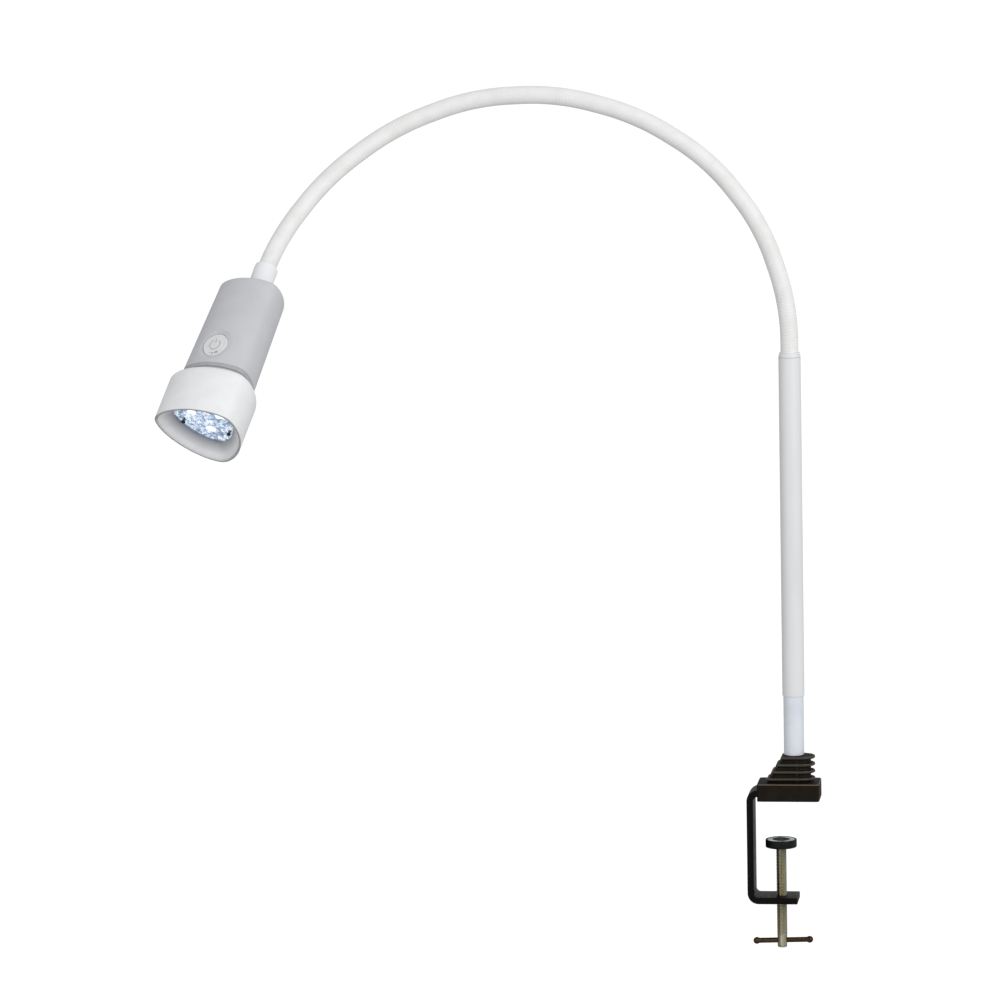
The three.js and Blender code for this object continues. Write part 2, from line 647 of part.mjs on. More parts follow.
function neckCollar() {
  const hoseBore = SHEATH_RADIUS + GAP;
  const spigot = NECK_BORE - GAP;
  const mouth = -COLLAR_LENGTH;
  const floor = mouth + HOSE_IN_COLLAR + GAP;
  const profile = [
    [hoseBore, mouth], [hoseBore + 1.3, mouth], [COLLAR_RADIUS - 0.6, mouth + 1.6],
    [COLLAR_RADIUS, mouth + 4.5], [COLLAR_RADIUS - 0.8, -GAP], [spigot, -GAP], [spigot, 9], [5, 9],
    [5, floor], [hoseBore, floor], [hoseBore, mouth],
  ];
  add("neck_collar", turned(profile, 24), WHITE_PLASTIC, head);
}

function neckLocknut() {
  const rear = REAR_WALL + GAP;
  const nut = turned([[0, rear], [12, rear], [12, rear + 4.5], [0, rear + 4.5]], 6);
  add("neck_locknut", cut(nut, rod(NECK_BORE, 0, 10)), BRASS, head);
}

function rearHousing() {
  const inside = 2 * HOUSING_WALL;
  const shell = lobed([
    [0, 0], ...roundedEdge(HOUSING_REAR_WIDTH, 0, HOUSING_EDGE, 3), [HOUSING_FRONT_WIDTH, HOUSING_LENGTH],
    [HOUSING_FRONT_WIDTH - inside, HOUSING_LENGTH], [HOUSING_REAR_WIDTH - inside, REAR_WALL + 2.5],
    [HOUSING_REAR_WIDTH - inside - 5, REAR_WALL], [0, REAR_WALL],
  ]);
  const bosses = HOUSING_SCREW_ANGLES.map((angle) => {
    const [x, y] = polar(HOUSING_SCREW_CIRCLE, angle);
    return common(rod(5.1, HOUSING_LENGTH - 20, HOUSING_LENGTH, x, y, 16),
      lobedPlate(HOUSING_FRONT_WIDTH - 3, HOUSING_LENGTH - 25, HOUSING_LENGTH));
  });
  const pilots = HOUSING_SCREW_ANGLES.map((angle) => {
    const [x, y] = polar(HOUSING_SCREW_CIRCLE, angle);
    return rod(SCREW_SHANK_RADIUS + GAP, HOUSING_LENGTH - 14, HOUSING_LENGTH + 1, x, y, 12);
  });
  const opening = towardsButton(rod(BUTTON_RADIUS + 0.35, 22, 40, 0, 0, 32));
  const dish = towardsButton(rod(DISH_RADIUS, DISH_FLOOR, 40, 0, 0, 32));
  const neckHole = rod(NECK_BORE, -1, 5);
  add("rear_housing", cut(join(shell, ...bosses), ...pilots, opening, dish, neckHole), GREY_PLASTIC, head);
}

function housingSeal() {
  const [z0, z1] = [HOUSING_LENGTH + GAP, SHADE_REAR - GAP];
  const seal = lobed([[SEAL_INNER, z0], [SEAL_WIDTH, z0], [SEAL_WIDTH, z1], [SEAL_INNER, z1]]);
  add("housing_seal", seal, BLACK_RUBBER, head);
}

function frontShade() {
  const inner = SHADE_WIDTH - 2 * SHADE_WALL;
  const shell = lobed([
    [50, SHADE_REAR], ...roundedEdge(SHADE_WIDTH, SHADE_REAR, SHADE_SHOULDER, 5),
    [SHADE_WIDTH, HEAD_LENGTH - 0.5], [SHADE_WIDTH - 1, HEAD_LENGTH], [inner + 0.6, HEAD_LENGTH],
    [inner, HEAD_LENGTH - 0.4], [inner, SHADE_REAR + SHADE_SHOULDER], [inner - 8, SHADE_FLOOR + 2],
    [inner - 14, SHADE_FLOOR], [50, SHADE_FLOOR],
  ]);
  const holes = HOUSING_SCREW_ANGLES.map((angle) => {
    const [x, y] = polar(HOUSING_SCREW_CIRCLE, angle);
    return rod(SCREW_SHANK_RADIUS + GAP, SHADE_REAR - 1, SHADE_FLOOR + 4, x, y, 12);
  });
  add("front_shade", cut(shell, ...holes), WHITE_PLASTIC, head);
}

function innerBaffle() {
  const outer = SHADE_WIDTH - 2 * SHADE_WALL - 2 * GAP;
  const front = HEAD_LENGTH - 1.5;
  const profile = [
    [WINDOW_WIDTH, WINDOW_Z + 1.4], [outer - 1.6, front], [outer, front], [outer, front - 2.4],
    [POCKET_WIDTH + 3.4, WINDOW_Z + 1], [POCKET_WIDTH + 3.4, BOARD_Z + 2], [POCKET_WIDTH, BOARD_Z + 2],
    [POCKET_WIDTH, WINDOW_Z + GAP], [WINDOW_WIDTH, WINDOW_Z + GAP],
  ];
  add("inner_baffle", lobed(profile), BAFFLE_GREY, head);
}

function housingScrews() {
  const seat = SHADE_FLOOR + GAP;
  HOUSING_SCREW_ANGLES.forEach((angle, i) => {
    const [x, y] = polar(HOUSING_SCREW_CIRCLE, angle);
    const profile = [
      [0, HOUSING_LENGTH - 12], [SCREW_SHANK_RADIUS, HOUSING_LENGTH - 12], [SCREW_SHANK_RADIUS, seat],
      [3, seat], [3, seat + 1.6], [0, seat + 1.6],
    ];
    add(`housing_screw_${i + 1}`, turned(profile, 12).translate(x, y, 0), ZINC, head);
  });
}

// ---------------------------------------------------------------- light engine

function screwHoles(z0, z1) {
  return WINDOW_SCREW_ANGLES.map((angle) => {
    const [x, y] = polar(WINDOW_SCREW_CIRCLE, angle);
    return rod(WINDOW_SCREW_RADIUS + GAP, z0, z1, x, y, 12);
  });
}

function windowPane() {
  const rear = WINDOW_Z - 2.4;
  const pane = lobedPlate(POCKET_WIDTH - 0.6, rear, WINDOW_Z);
  add("window", cut(pane, ...screwHoles(rear - 1, WINDOW_Z + 1)), CLEAR, head);
}

function windowScrews() {
  WINDOW_SCREW_ANGLES.forEach((angle, i) => {
    const [x, y] = polar(WINDOW_SCREW_CIRCLE, angle);
    const seat = WINDOW_Z + GAP;
    const profile = [
      [0, BOARD_Z - 4], [WINDOW_SCREW_RADIUS, BOARD_Z - 4], [WINDOW_SCREW_RADIUS, seat],
      [2.6, seat], [2.2, seat + 1.4], [0, seat + 1.4],
    ];
    add(`window_screw_${i + 1}`, turned(profile, 12).translate(x, y, 0), ZINC, head);
  });
}

function optics() {
  const rear = BOARD_Z + BOARD_THICK + 1.9;
  const front = WINDOW_Z - 3.2;
  OPTIC_ANGLES.forEach((angle, i) => {
    const [x, y] = polar(OPTIC_CIRCLE, angle);
    const cone = [
      [0, rear], [4.5, rear], [OPTIC_RADIUS - 1.6, front - 1.6], [OPTIC_RADIUS, front - 1.6],
      [OPTIC_RADIUS, front], [0, front],
    ];
    add(`optic_${i + 1}`, turned(cone, 24).translate(x, y, 0), CLEAR, head);
    const chipZ = BOARD_Z + BOARD_THICK + GAP;
    const chip = box(x - 2.5, x + 2.5, y - 2.5, y + 2.5, chipZ, chipZ + 1.3);
    add(`led_${i + 1}`, chip, finish(0xfff6c8, 0.4), head);
  });
}

function ledBoard() {
  const board = lobedPlate(POCKET_WIDTH - 1, BOARD_Z, BOARD_Z + BOARD_THICK);
  const holes = screwHoles(BOARD_Z - 1, BOARD_Z + BOARD_THICK + 1);
  add("led_board", cut(board, ...holes), finish(0xf0f0ee, 0.4), head);
}

function heatSink() {
  const front = BOARD_Z - GAP;
  const width = POCKET_WIDTH - 2;
  const base = lobedPlate(width, front - 5, front);
  const envelope = lobedPlate(width - 2, SHADE_REAR + 5, front - 4.5);
  const fins = [];
  for (let x = -27; x <= 27; x += 6) {
    fins.push(common(box(x - 0.8, x + 0.8, -40, 40, SHADE_REAR + 5, front - 4.5), envelope));
  }
  add("heat_sink", cut(join(base, ...fins), ...screwHoles(BOARD_Z - 6, front + 1)), ALUMINIUM, head);
}

// ---------------------------------------------------------------- power button and driver

function powerButton() {
  const under = BUTTON_TOP - 2.6;
  const profile = [
    [0, DRIVER_TOP + 8], [3.8, DRIVER_TOP + 8], [3.8, under], [BUTTON_RADIUS, under],
    [BUTTON_RADIUS, BUTTON_TOP - 0.5], [BUTTON_RADIUS - 0.5, BUTTON_TOP], [0, BUTTON_TOP],
  ];
  add("power_button", towardsButton(turned(profile, 32)), PALE_PLASTIC, head);
}

function buttonSpring() {
  const [low, high] = [DRIVER_TOP + 5.6, BUTTON_TOP - 4.1];
  const turns = 3;
  const wire = 0.5;
  const coil = 5.2;
  const points = [];
  const perTurn = 8;
  for (let i = 0; i <= turns * perTurn; i++) {
    const angle = (2 * Math.PI * i) / perTurn;
    const z = low + wire + ((high - low - 2 * wire) * i) / (turns * perTurn);
    points.push(new THREE.Vector3(coil * Math.cos(angle), coil * Math.sin(angle), z));
  }
  const wireSection = new THREE.Shape().absarc(0, 0, wire, 0, 2 * Math.PI);
  const spring = new THREE.ExtrudeGeometry(wireSection, {
    steps: turns * perTurn, curveSegments: 3, bevelEnabled: false,
    extrudePath: new THREE.CatmullRomCurve3(points),
  });
  add("button_spring", towardsButton(spring), SPRING_STEEL, head);
}

function powerSwitch() {
  const body = box(-6, 6, -6, 6, DRIVER_TOP + GAP, DRIVER_TOP + 5);
  const plunger = rod(1.8, DRIVER_TOP + 4, DRIVER_TOP + 6.7, 0, 0, 16);
  add("power_switch", towardsButton(join(body, plunger)), BLACK_PLASTIC, head);
}

function driverBoard() {
  const board = box(-15, 63, -20, 20, DRIVER_TOP - 1.6, DRIVER_TOP);
  add("driver_board", towardsButton(board), CIRCUIT_GREEN, head);
  const can = turned([[0, 0], [4.6, 0], [5, 0.6], [5, 16], [0, 16]], 20).rotateY(Math.PI / 2);
  can.translate(20, 0, DRIVER_TOP - 1.6 - GAP - 5);
  add("capacitor", towardsButton(can), finish(0x24304a, 0.4), head);
}

function supplyLead() {
  const points = [[0, 0, -6], [0, 0, 4], [0, 0, 14], [3, -2, 24], [8, -6, 34], [10, -9, 48]];
  const path = new THREE.CatmullRomCurve3(points.map(([x, y, z]) => new THREE.Vector3(x, y, z)));
  const lead = new THREE.Shape().absarc(0, 0, 1.6, 0, 2 * Math.PI);
  const tube = new THREE.ExtrudeGeometry(lead, {
    steps: 14, curveSegments: 4, bevelEnabled: false, extrudePath: path,
  });
  add("supply_lead", tube, BLACK_RUBBER, head);
}

// ---------------------------------------------------------------- assembly

clampFrame();
clampHood();
ribbedTower();
jawPad();
clampFasteners();
mastBush();
clampScrew();
pressurePad();
tommyBar();
mastRetainingScrew();
mastTube();
mastSleeve();
hoseSocket();
socketSetScrew();
cableGrommet();
gooseneck();
placeHead();
neckCollar();
neckLocknut();
rearHousing();
housingSeal();
frontShade();
innerBaffle();
housingScrews();
windowPane();
windowScrews();
optics();
ledBoard();
heatSink();
powerButton();
buttonSpring();
powerSwitch();
driverBoard();
supplyLead();

export default lamp;
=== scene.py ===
"""An examination lamp: table clamp, swivelling mast, ribbed gooseneck and an LED head.

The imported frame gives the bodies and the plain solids. This script adds the fine surfaces and their
finishes. Sizes are in millimetres here and turned into metres when a mesh is made.
"""

import json
from math import acos, cos, degrees, hypot, pi, radians, sin

import bmesh
import bpy
import numpy as np
from mathutils import Matrix, Vector


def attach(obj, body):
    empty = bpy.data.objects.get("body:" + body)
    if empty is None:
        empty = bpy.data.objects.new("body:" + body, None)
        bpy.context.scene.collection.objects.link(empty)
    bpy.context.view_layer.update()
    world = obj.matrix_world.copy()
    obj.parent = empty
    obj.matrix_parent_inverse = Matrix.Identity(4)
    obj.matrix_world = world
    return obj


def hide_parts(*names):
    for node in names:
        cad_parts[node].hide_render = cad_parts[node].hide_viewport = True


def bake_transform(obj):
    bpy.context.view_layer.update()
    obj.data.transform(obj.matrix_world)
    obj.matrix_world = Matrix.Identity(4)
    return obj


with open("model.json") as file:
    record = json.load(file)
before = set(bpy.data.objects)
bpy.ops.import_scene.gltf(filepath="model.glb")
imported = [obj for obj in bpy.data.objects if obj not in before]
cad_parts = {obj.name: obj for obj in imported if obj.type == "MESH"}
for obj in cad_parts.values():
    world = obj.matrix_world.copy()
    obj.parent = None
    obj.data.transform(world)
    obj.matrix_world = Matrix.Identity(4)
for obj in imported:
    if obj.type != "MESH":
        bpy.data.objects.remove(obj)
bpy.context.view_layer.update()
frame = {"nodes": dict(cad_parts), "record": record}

MM = 0.001
GAP = 0.3  # clearance between pieces that touch

# ---- sizes, as in the CAD model

MAST_X = 14

BAR_WIDTH = 37
BAR_THICK = 6.6
BAR_CORNER = 1.3
BEND_RADIUS = 11
SPINE_X = -33
FRAME_TOP = 11
FRAME_BOTTOM = -104.3
UPPER_ARM_END = 36
LOWER_ARM_END = 17

HOOD_LEFT, HOOD_RIGHT = -22.5, 39.8
HOOD_DEPTH = 41
HOOD_BOTTOM, HOOD_TOP = 0.2, 18
HOOD_WALL = 1.7
HOOD_EDGE = 1.5

TOWER_TOP = 44.5
FIN_THICK = 3.2
FIN_PITCH = 7.2
FIN_COUNT = 4
FIN_DEPTH = 26
FIN_OVERHANG = 2.6
FIN_END_OVERHANG = 4.2  # at the round right end
FIN_RIGHT = MAST_X + 21
TOWER_LEFT_TOP, TOWER_LEFT_BOTTOM = 2.3, -15.2
TOWER_RIB_X = 17.4
TOWER_RIB_WIDTH = 3.2
TOWER_CORNER = 1.6
BUSH_RADIUS = 9.3
RETAINER_BORE = 4.3  # for the mast's retaining screw

THREAD_RADIUS = 5.2
THREAD_DEPTH = 0.55
THREAD_PITCH = 1.5
SCREW_END_RADIUS = 4.8
SCREW_BOTTOM = -151
THREAD_BOTTOM = -139
PAD_RADIUS = 15.65
PAD_TOP = -41
PAD_THICK = 8
PAD_TEETH = 44
SOCKET_BORE = 4.3
SOCKET_DEPTH = 4.7
TOMMY_Z = -144
TOMMY_OFFSET = 1
TOMMY_TURN = 8
TOMMY_HALF_LENGTH = 30
TOMMY_RADIUS = 2.6
TOMMY_BALL_RADIUS = 3.5

TUBE_RADIUS = 10.1
SHOULDER_Z = TOWER_TOP + GAP
TUBE_TOP = 423.7
SLEEVE_RADIUS = 11
SLEEVE_BORE = 10.4
SLEEVE_BOTTOM, SLEEVE_TOP = 104.5, 443
HOSE_START_Z = 448
SET_SCREW_Z = 434
SET_SCREW_BORE = 2.3
GROMMET_Z = 75
LEAD_BORE = 4.3

HOSE_LENGTH = 743
HOSE_STUB = 10.5
HOSE_PITCH = [0, 18, 38, 57.5, 74.5, 92, 109.5, 126, 143, 163.2]
HOSE_YAW = [0, 0, 0, 0, 0, 0, 9, 19, 29, 39]
HOSE_RADIUS = 8.95
HOSE_BORE = 6.4
HOSE_HIDDEN = 14  # how far the cover runs on inside its sockets
RIB_PITCH = 3.1
RIB_DEPTH = 0.34

HEAD_ROLL = -1
LOBE = 0.046
COLLAR_LENGTH = 33.7
COLLAR_RADIUS = 11.7
NECK_HOLE = 7.8
HOUSING_REAR_WIDTH = 65.6
HOUSING_FRONT_WIDTH = 71.6
HOUSING_LENGTH = 109.8
HOUSING_WALL = 3.4
HOUSING_REAR_WALL = 2.9
HOUSING_EDGE = 4
STEP_Z = 105.6  # where the housing steps down to the band behind the shade
STEP_DEPTH = 0.5
SEAL_WIDTH = 70
SEAL_INNER = 62.2
SHADE_WIDTH = 87.2
SHADE_REAR = 113.8
SHADE_SHOULDER = 7
SHADE_WALL = 2
HEAD_LENGTH = 167.5
WINDOW_WIDTH = 60.2
WINDOW_Z = 154
POCKET_WIDTH = 63.8
OPTIC_CIRCLE = 16.3
OPTIC_RADIUS = 12
OPTIC_ANGLES = [45, 165, 285]
WINDOW_SCREW_ANGLES = [93.5, 207, 340]
WINDOW_SCREW_CIRCLE = 25
BOARD_Z = 138
BUTTON_ANGLE = 120
BUTTON_Z = 83.9
BUTTON_RADIUS = 13
BUTTON_TOP = 31
DISH_FLOOR = 30.2
DISH_RADIUS = 16.4
MARK_HEIGHT = 0.12

# ---- light

WORLD_LEVEL = 0.6
WORLD_SLOPE = (0.14, -0.16, 0.2)  # change of the world's light towards +X, +Y and +Z
KEY_POWER = 42
FILL_POWER = 13

# ---- meshes


class Place:
    """A local frame: where a piece made about its own +Z sits in the lamp."""

    def __init__(self, origin=(0, 0, 0), axes=np.eye(3)):
        self.origin = np.array(origin, float)
        self.axes = np.array(axes, float)  # columns are the local X, Y and Z

    def of(self, points):
        return np.asarray(points, float) @ self.axes.T + self.origin

    def moved(self, offset, axes=np.eye(3)):
        return Place(self.of(offset), self.axes @ np.array(axes, float))


HERE = Place()
MAST = Place((MAST_X, 0, 0))


def unit(v):
    return v / np.linalg.norm(v)


def lying(direction):
    """Axes whose Z runs along a level direction and whose X is upright."""
    z = unit(np.array(direction, float))
    x = np.array([0.0, 0.0, 1.0])
    return np.stack([x, np.cross(z, x), z], axis=1)


def piece(name, points, faces, sharp=35):
    """A smooth-shaded mesh whose edges above the sharp angle stay crisp."""
    mesh = bpy.data.meshes.new(name)
    mesh.from_pydata([tuple(p) for p in np.asarray(points, float) * MM], [], faces)
    mesh.validate()
    mesh.update()
    obj = bpy.data.objects.new(name, mesh)
    bpy.context.scene.collection.objects.link(obj)
    face_outward(obj)
    shade(obj, sharp)
    return obj


def face_outward(obj):
    work = bmesh.new()
    work.from_mesh(obj.data)
    bmesh.ops.recalc_face_normals(work, faces=work.faces)
    work.to_mesh(obj.data)
    work.free()


def shade(obj, sharp):
    obj.data.shade_smooth()
    obj.data.set_sharp_from_angle(angle=radians(sharp))


def strip(rings, closed=False):
    """Points and faces between rings of points. A ring of one point is a pole.
    closed joins the last ring to the first; otherwise open ends are capped flat."""
    rings = [np.atleast_2d(ring) for ring in rings]
    starts = np.cumsum([0] + [len(ring) for ring in rings])
    faces = []
    pairs = [(i, i + 1) for i in range(len(rings) - 1)]
    if closed:
        pairs.append((len(rings) - 1, 0))
    for i, k in pairs:
        a, b = starts[i], starts[k]
        count = max(len(rings[i]), len(rings[k]))
        for j in range(count):
            n = (j + 1) % count
            if len(rings[i]) == 1:
                faces.append((a, b + n, b + j))
            elif len(rings[k]) == 1:
                faces.append((a + j, a + n, b))
            else:
                faces.append((a + j, a + n, b + n, b + j))
    if not closed:
        for i, flip in ((0, True), (len(rings) - 1, False)):
            if len(rings[i]) > 1:
                loop = list(range(starts[i], starts[i] + len(rings[i])))
                faces.append(tuple(loop[::-1] if flip else loop))
    return np.concatenate(rings), [tuple(int(v) for v in face) for face in faces]


def skin(name, rings, place=HERE, sharp=35, closed=False):
    """A piece whose surface runs from ring to ring."""
    points, faces = strip(rings, closed)
    return piece(name, place.of(points), faces, sharp)


def ring_angles(sides):
    return np.linspace(0, 2 * pi, sides, endpoint=False)


def polar(radius, angle, z):
    """Points about the local Z. The radius and z are one number, or one for each angle."""
    return np.column_stack([radius * np.cos(angle), radius * np.sin(angle), np.full(len(angle), z)])


def circles(profile, sides):
    """A ring of points for each [radius, z], or one point where the radius is 0."""
    angle = ring_angles(sides)
    return [polar(r, angle, z) if r else np.array([[0, 0, z]]) for r, z in profile]


def arc(cx, cy, radius, first, last, steps):
    """Points on a circle between two angles in degrees."""
    angles = [radians(first + (last - first) * i / steps) for i in range(steps + 1)]
    return [(cx + radius * cos(a), cy + radius * sin(a)) for a in angles]


def turned(name, profile, place, sides, closed=False):
    """A solid of revolution about the local Z from [radius, z] points."""
    return skin(name, circles(profile, sides), place, closed=closed)


def fillet(corner, before, after, radius, steps):
    """Points of a round corner between two straight lines of a profile."""
    corner, before, after = (np.array(p, float) for p in (corner, before, after))
    u, v = unit(before - corner), unit(after - corner)
    half = acos(float(np.clip(u @ v, -1, 1))) / 2
    room = 0.49 * min(np.linalg.norm(before - corner), np.linalg.norm(after - corner))
    reach = min(radius / np.tan(half), room)
    start, end = corner + u * reach, corner + v * reach
    middle = corner + unit(u + v) * (reach / cos(half))
    arm = reach * np.tan(half)
    chord = [start + (end - start) * (i / steps) for i in range(steps + 1)]
    return [list(middle + unit(p - middle) * arm) for p in chord]


def rounded(profile, radii, steps, closed=False):
    """A profile with its corners rounded, each by its own radius."""
    points = []
    last = len(profile) - 1
    for i, corner in enumerate(profile):
        if radii[i] == 0 or (not closed and i in (0, last)):
            points.append(list(corner))
            continue
        before, after = profile[i - 1], profile[(i + 1) % len(profile)]
        points.extend(fillet(corner, before, after, radii[i], steps))
    return points


def hollow(name, profile, radii, place, steps=4, sides=96):
    """A solid of revolution whose wall is a closed profile with round corners."""
    return turned(name, rounded(profile, radii, steps, True), place, sides, True)


def rounded_box_outline(x0, x1, y0, y1, radius, steps=8):
    """Points round a rectangle with round corners, in X and Y."""
    points = []
    corners = [(x1 - radius, y0 + radius, -90), (x1 - radius, y1 - radius, 0),
               (x0 + radius, y1 - radius, 90), (x0 + radius, y0 + radius, 180)]
    for cx, cy, first in corners:
        points += arc(cx, cy, radius, first, first + 90, steps)
    return np.array(points)


def at_height(outline, z):
    return np.column_stack([outline, np.full(len(outline), z)])


def block(name, low, high, place=HERE):
    x0, y0, z0 = low
    x1, y1, z1 = high
    outline = np.array([(x0, y0), (x1, y0), (x1, y1), (x0, y1)])
    return skin(name, [at_height(outline, z0), at_height(outline, z1)], place)


def cylinder(radius, z0, z1, place=HERE, sides=48):
    return turned("tool", [(0, z0), (radius, z0), (radius, z1), (0, z1)], place, sides)


def combine(obj, tools, operation="DIFFERENCE", sharp=35):
    """Cuts the tools from a piece, or joins them to it, and drops the tools."""
    for tool in tools:
        boolean = obj.modifiers.new("boolean", "BOOLEAN")
        boolean.operation = operation
        boolean.solver = "EXACT"
        boolean.object = tool
    keep_modified(obj)
    if not obj.data.polygons:
        raise ValueError(f"nothing is left of {obj.name}")
    for tool in tools:
        bpy.data.objects.remove(tool)
    shade(obj, sharp)


def keep_modified(obj):
    """Makes the modifiers' result the piece's own mesh."""
    bpy.context.view_layer.update()
    graph = bpy.context.evaluated_depsgraph_get()
    mesh = bpy.data.meshes.new_from_object(obj.evaluated_get(graph))
    obj.modifiers.clear()
    obj.data = mesh


def bevel(obj, width):
    modifier = obj.modifiers.new("bevel", "BEVEL")
    modifier.width = width * MM
    modifier.segments = 2
    modifier.limit_method = "ANGLE"
    modifier.angle_limit = radians(40)
    modifier.harden_normals = True


# ---- finishes


LOOKS = {}  # material by name


def linear(colour):
    """A linear colour with full alpha from the 0 to 255 values a screen shows."""
    values = [v / 255 for v in colour]
    return (*[v / 12.92 if v <= 0.04045 else ((v + 0.055) / 1.055) ** 2.4 for v in values], 1)


class Look:
    """A principled material with procedural tone, roughness and grain in the lamp's own coordinates.
    Its colours are given as the 0 to 255 values a screen shows."""

    def __init__(self, name, colour, roughness, metallic=0.0, specular=0.5, coat=0.0, coat_roughness=0.1):
        self.material = bpy.data.materials.new(name)
        LOOKS[name] = self.material
        self.material.use_nodes = True
        self.tree = self.material.node_tree
        self.shader = self.tree.nodes["Principled BSDF"]
        self.colour = linear(colour)
        self.set("Base Color", self.colour)
        self.set("Roughness", roughness)
        self.set("Metallic", metallic)
        self.set("Specular IOR Level", specular)
        self.set("Coat Weight", coat)
        self.set("Coat Roughness", coat_roughness)
        self.colour_socket = None
        self.height_socket = None
        self.coordinates = self.node("TexCoord").outputs["Object"]

    def set(self, socket, value):
        self.shader.inputs[socket].default_value = value
        return self

    def glow(self, colour, strength):
        return self.set("Emission Color", colour).set("Emission Strength", strength)

    def node(self, kind, operation=None, **values):
        node = self.tree.nodes.new("ShaderNode" + kind)
        if operation:
            node.operation = operation
        for key, value in values.items():
            node.inputs[key].default_value = value
        return node

    def link(self, source, target):
        self.tree.links.new(source, target)

    def noise(self, pitch, detail=3, stretch=(1, 1, 1)):
        """Noise whose features are about pitch millimetres across."""
        mapping = self.node("Mapping", Scale=stretch)
        self.link(self.coordinates, mapping.inputs["Vector"])
        noise = self.node("TexNoise", Scale=1 / (pitch * MM), Detail=detail, Roughness=0.55)
        self.link(mapping.outputs["Vector"], noise.inputs["Vector"])
        return noise.outputs["Fac"]

    def ranged(self, source, low, high, to_low, to_high):
        limits = {"From Min": low, "From Max": high, "To Min": to_low, "To Max": to_high}
        node = self.node("MapRange", **limits)
        self.link(source, node.inputs["Value"])
        return node.outputs["Result"]

    def mix(self, factor, colour):
        """Mixes a colour over what is there, by a socket's value."""
        node = self.node("Mix")
        node.data_type = "RGBA"
        under, over = node.inputs[6], node.inputs[7]
        if self.colour_socket is None:
            under.default_value = self.colour
        else:
            self.link(self.colour_socket, under)
        over.default_value = linear(colour)
        self.link(factor, node.inputs[0])
        self.colour_socket = node.outputs[2]
        self.link(self.colour_socket, self.shader.inputs["Base Color"])
        return self

    def tone(self, pitch, colour, amount, low=0.4, high=0.65, stretch=(1, 1, 1)):
        """Patches of another colour, about pitch millimetres across."""
        return self.mix(self.ranged(self.noise(pitch, 3, stretch), low, high, 0, amount), colour)

    def edge(self, colour, amount):
        """Painted highlight: another colour where the surface turns sharply outward, as where light catches an
        edge.
        """
        pointed = self.node("NewGeometry").outputs["Pointiness"]
        return self.mix(self.ranged(pointed, 0.52, 0.62, 0, amount), colour)

    def along(self, place, near, far, colour, amount):
        """Another colour towards the near end of a place's own Z, gone at the far end, in millimetres."""
        axis = place.axes[:, 2]
        dot = self.node("VectorMath", "DOT_PRODUCT")
        dot.inputs[1].default_value = tuple(axis)
        self.link(self.coordinates, dot.inputs[0])
        near, far = (MM * (float(place.origin @ axis) + z) for z in (near, far))
        return self.mix(self.ranged(dot.outputs["Value"], near, far, amount, 0), colour)

    def rough(self, pitch, low, high):
        """Roughness that wanders between two values."""
        level = self.ranged(self.noise(pitch), 0.3, 0.7, low, high)
        self.link(level, self.shader.inputs["Roughness"])
        return self

    def grain(self, pitch, depth, stretch=(1, 1, 1)):
        """A surface texture of the given pitch and depth in millimetres."""
        bump = self.node("Bump", Strength=1.0, Distance=depth * MM)
        self.link(self.noise(pitch, 2, stretch), bump.inputs["Height"])
        if self.height_socket is not None:
            self.link(self.height_socket, bump.inputs["Normal"])
        self.height_socket = bump.outputs["Normal"]
        self.link(self.height_socket, self.shader.inputs["Normal"])
        return self


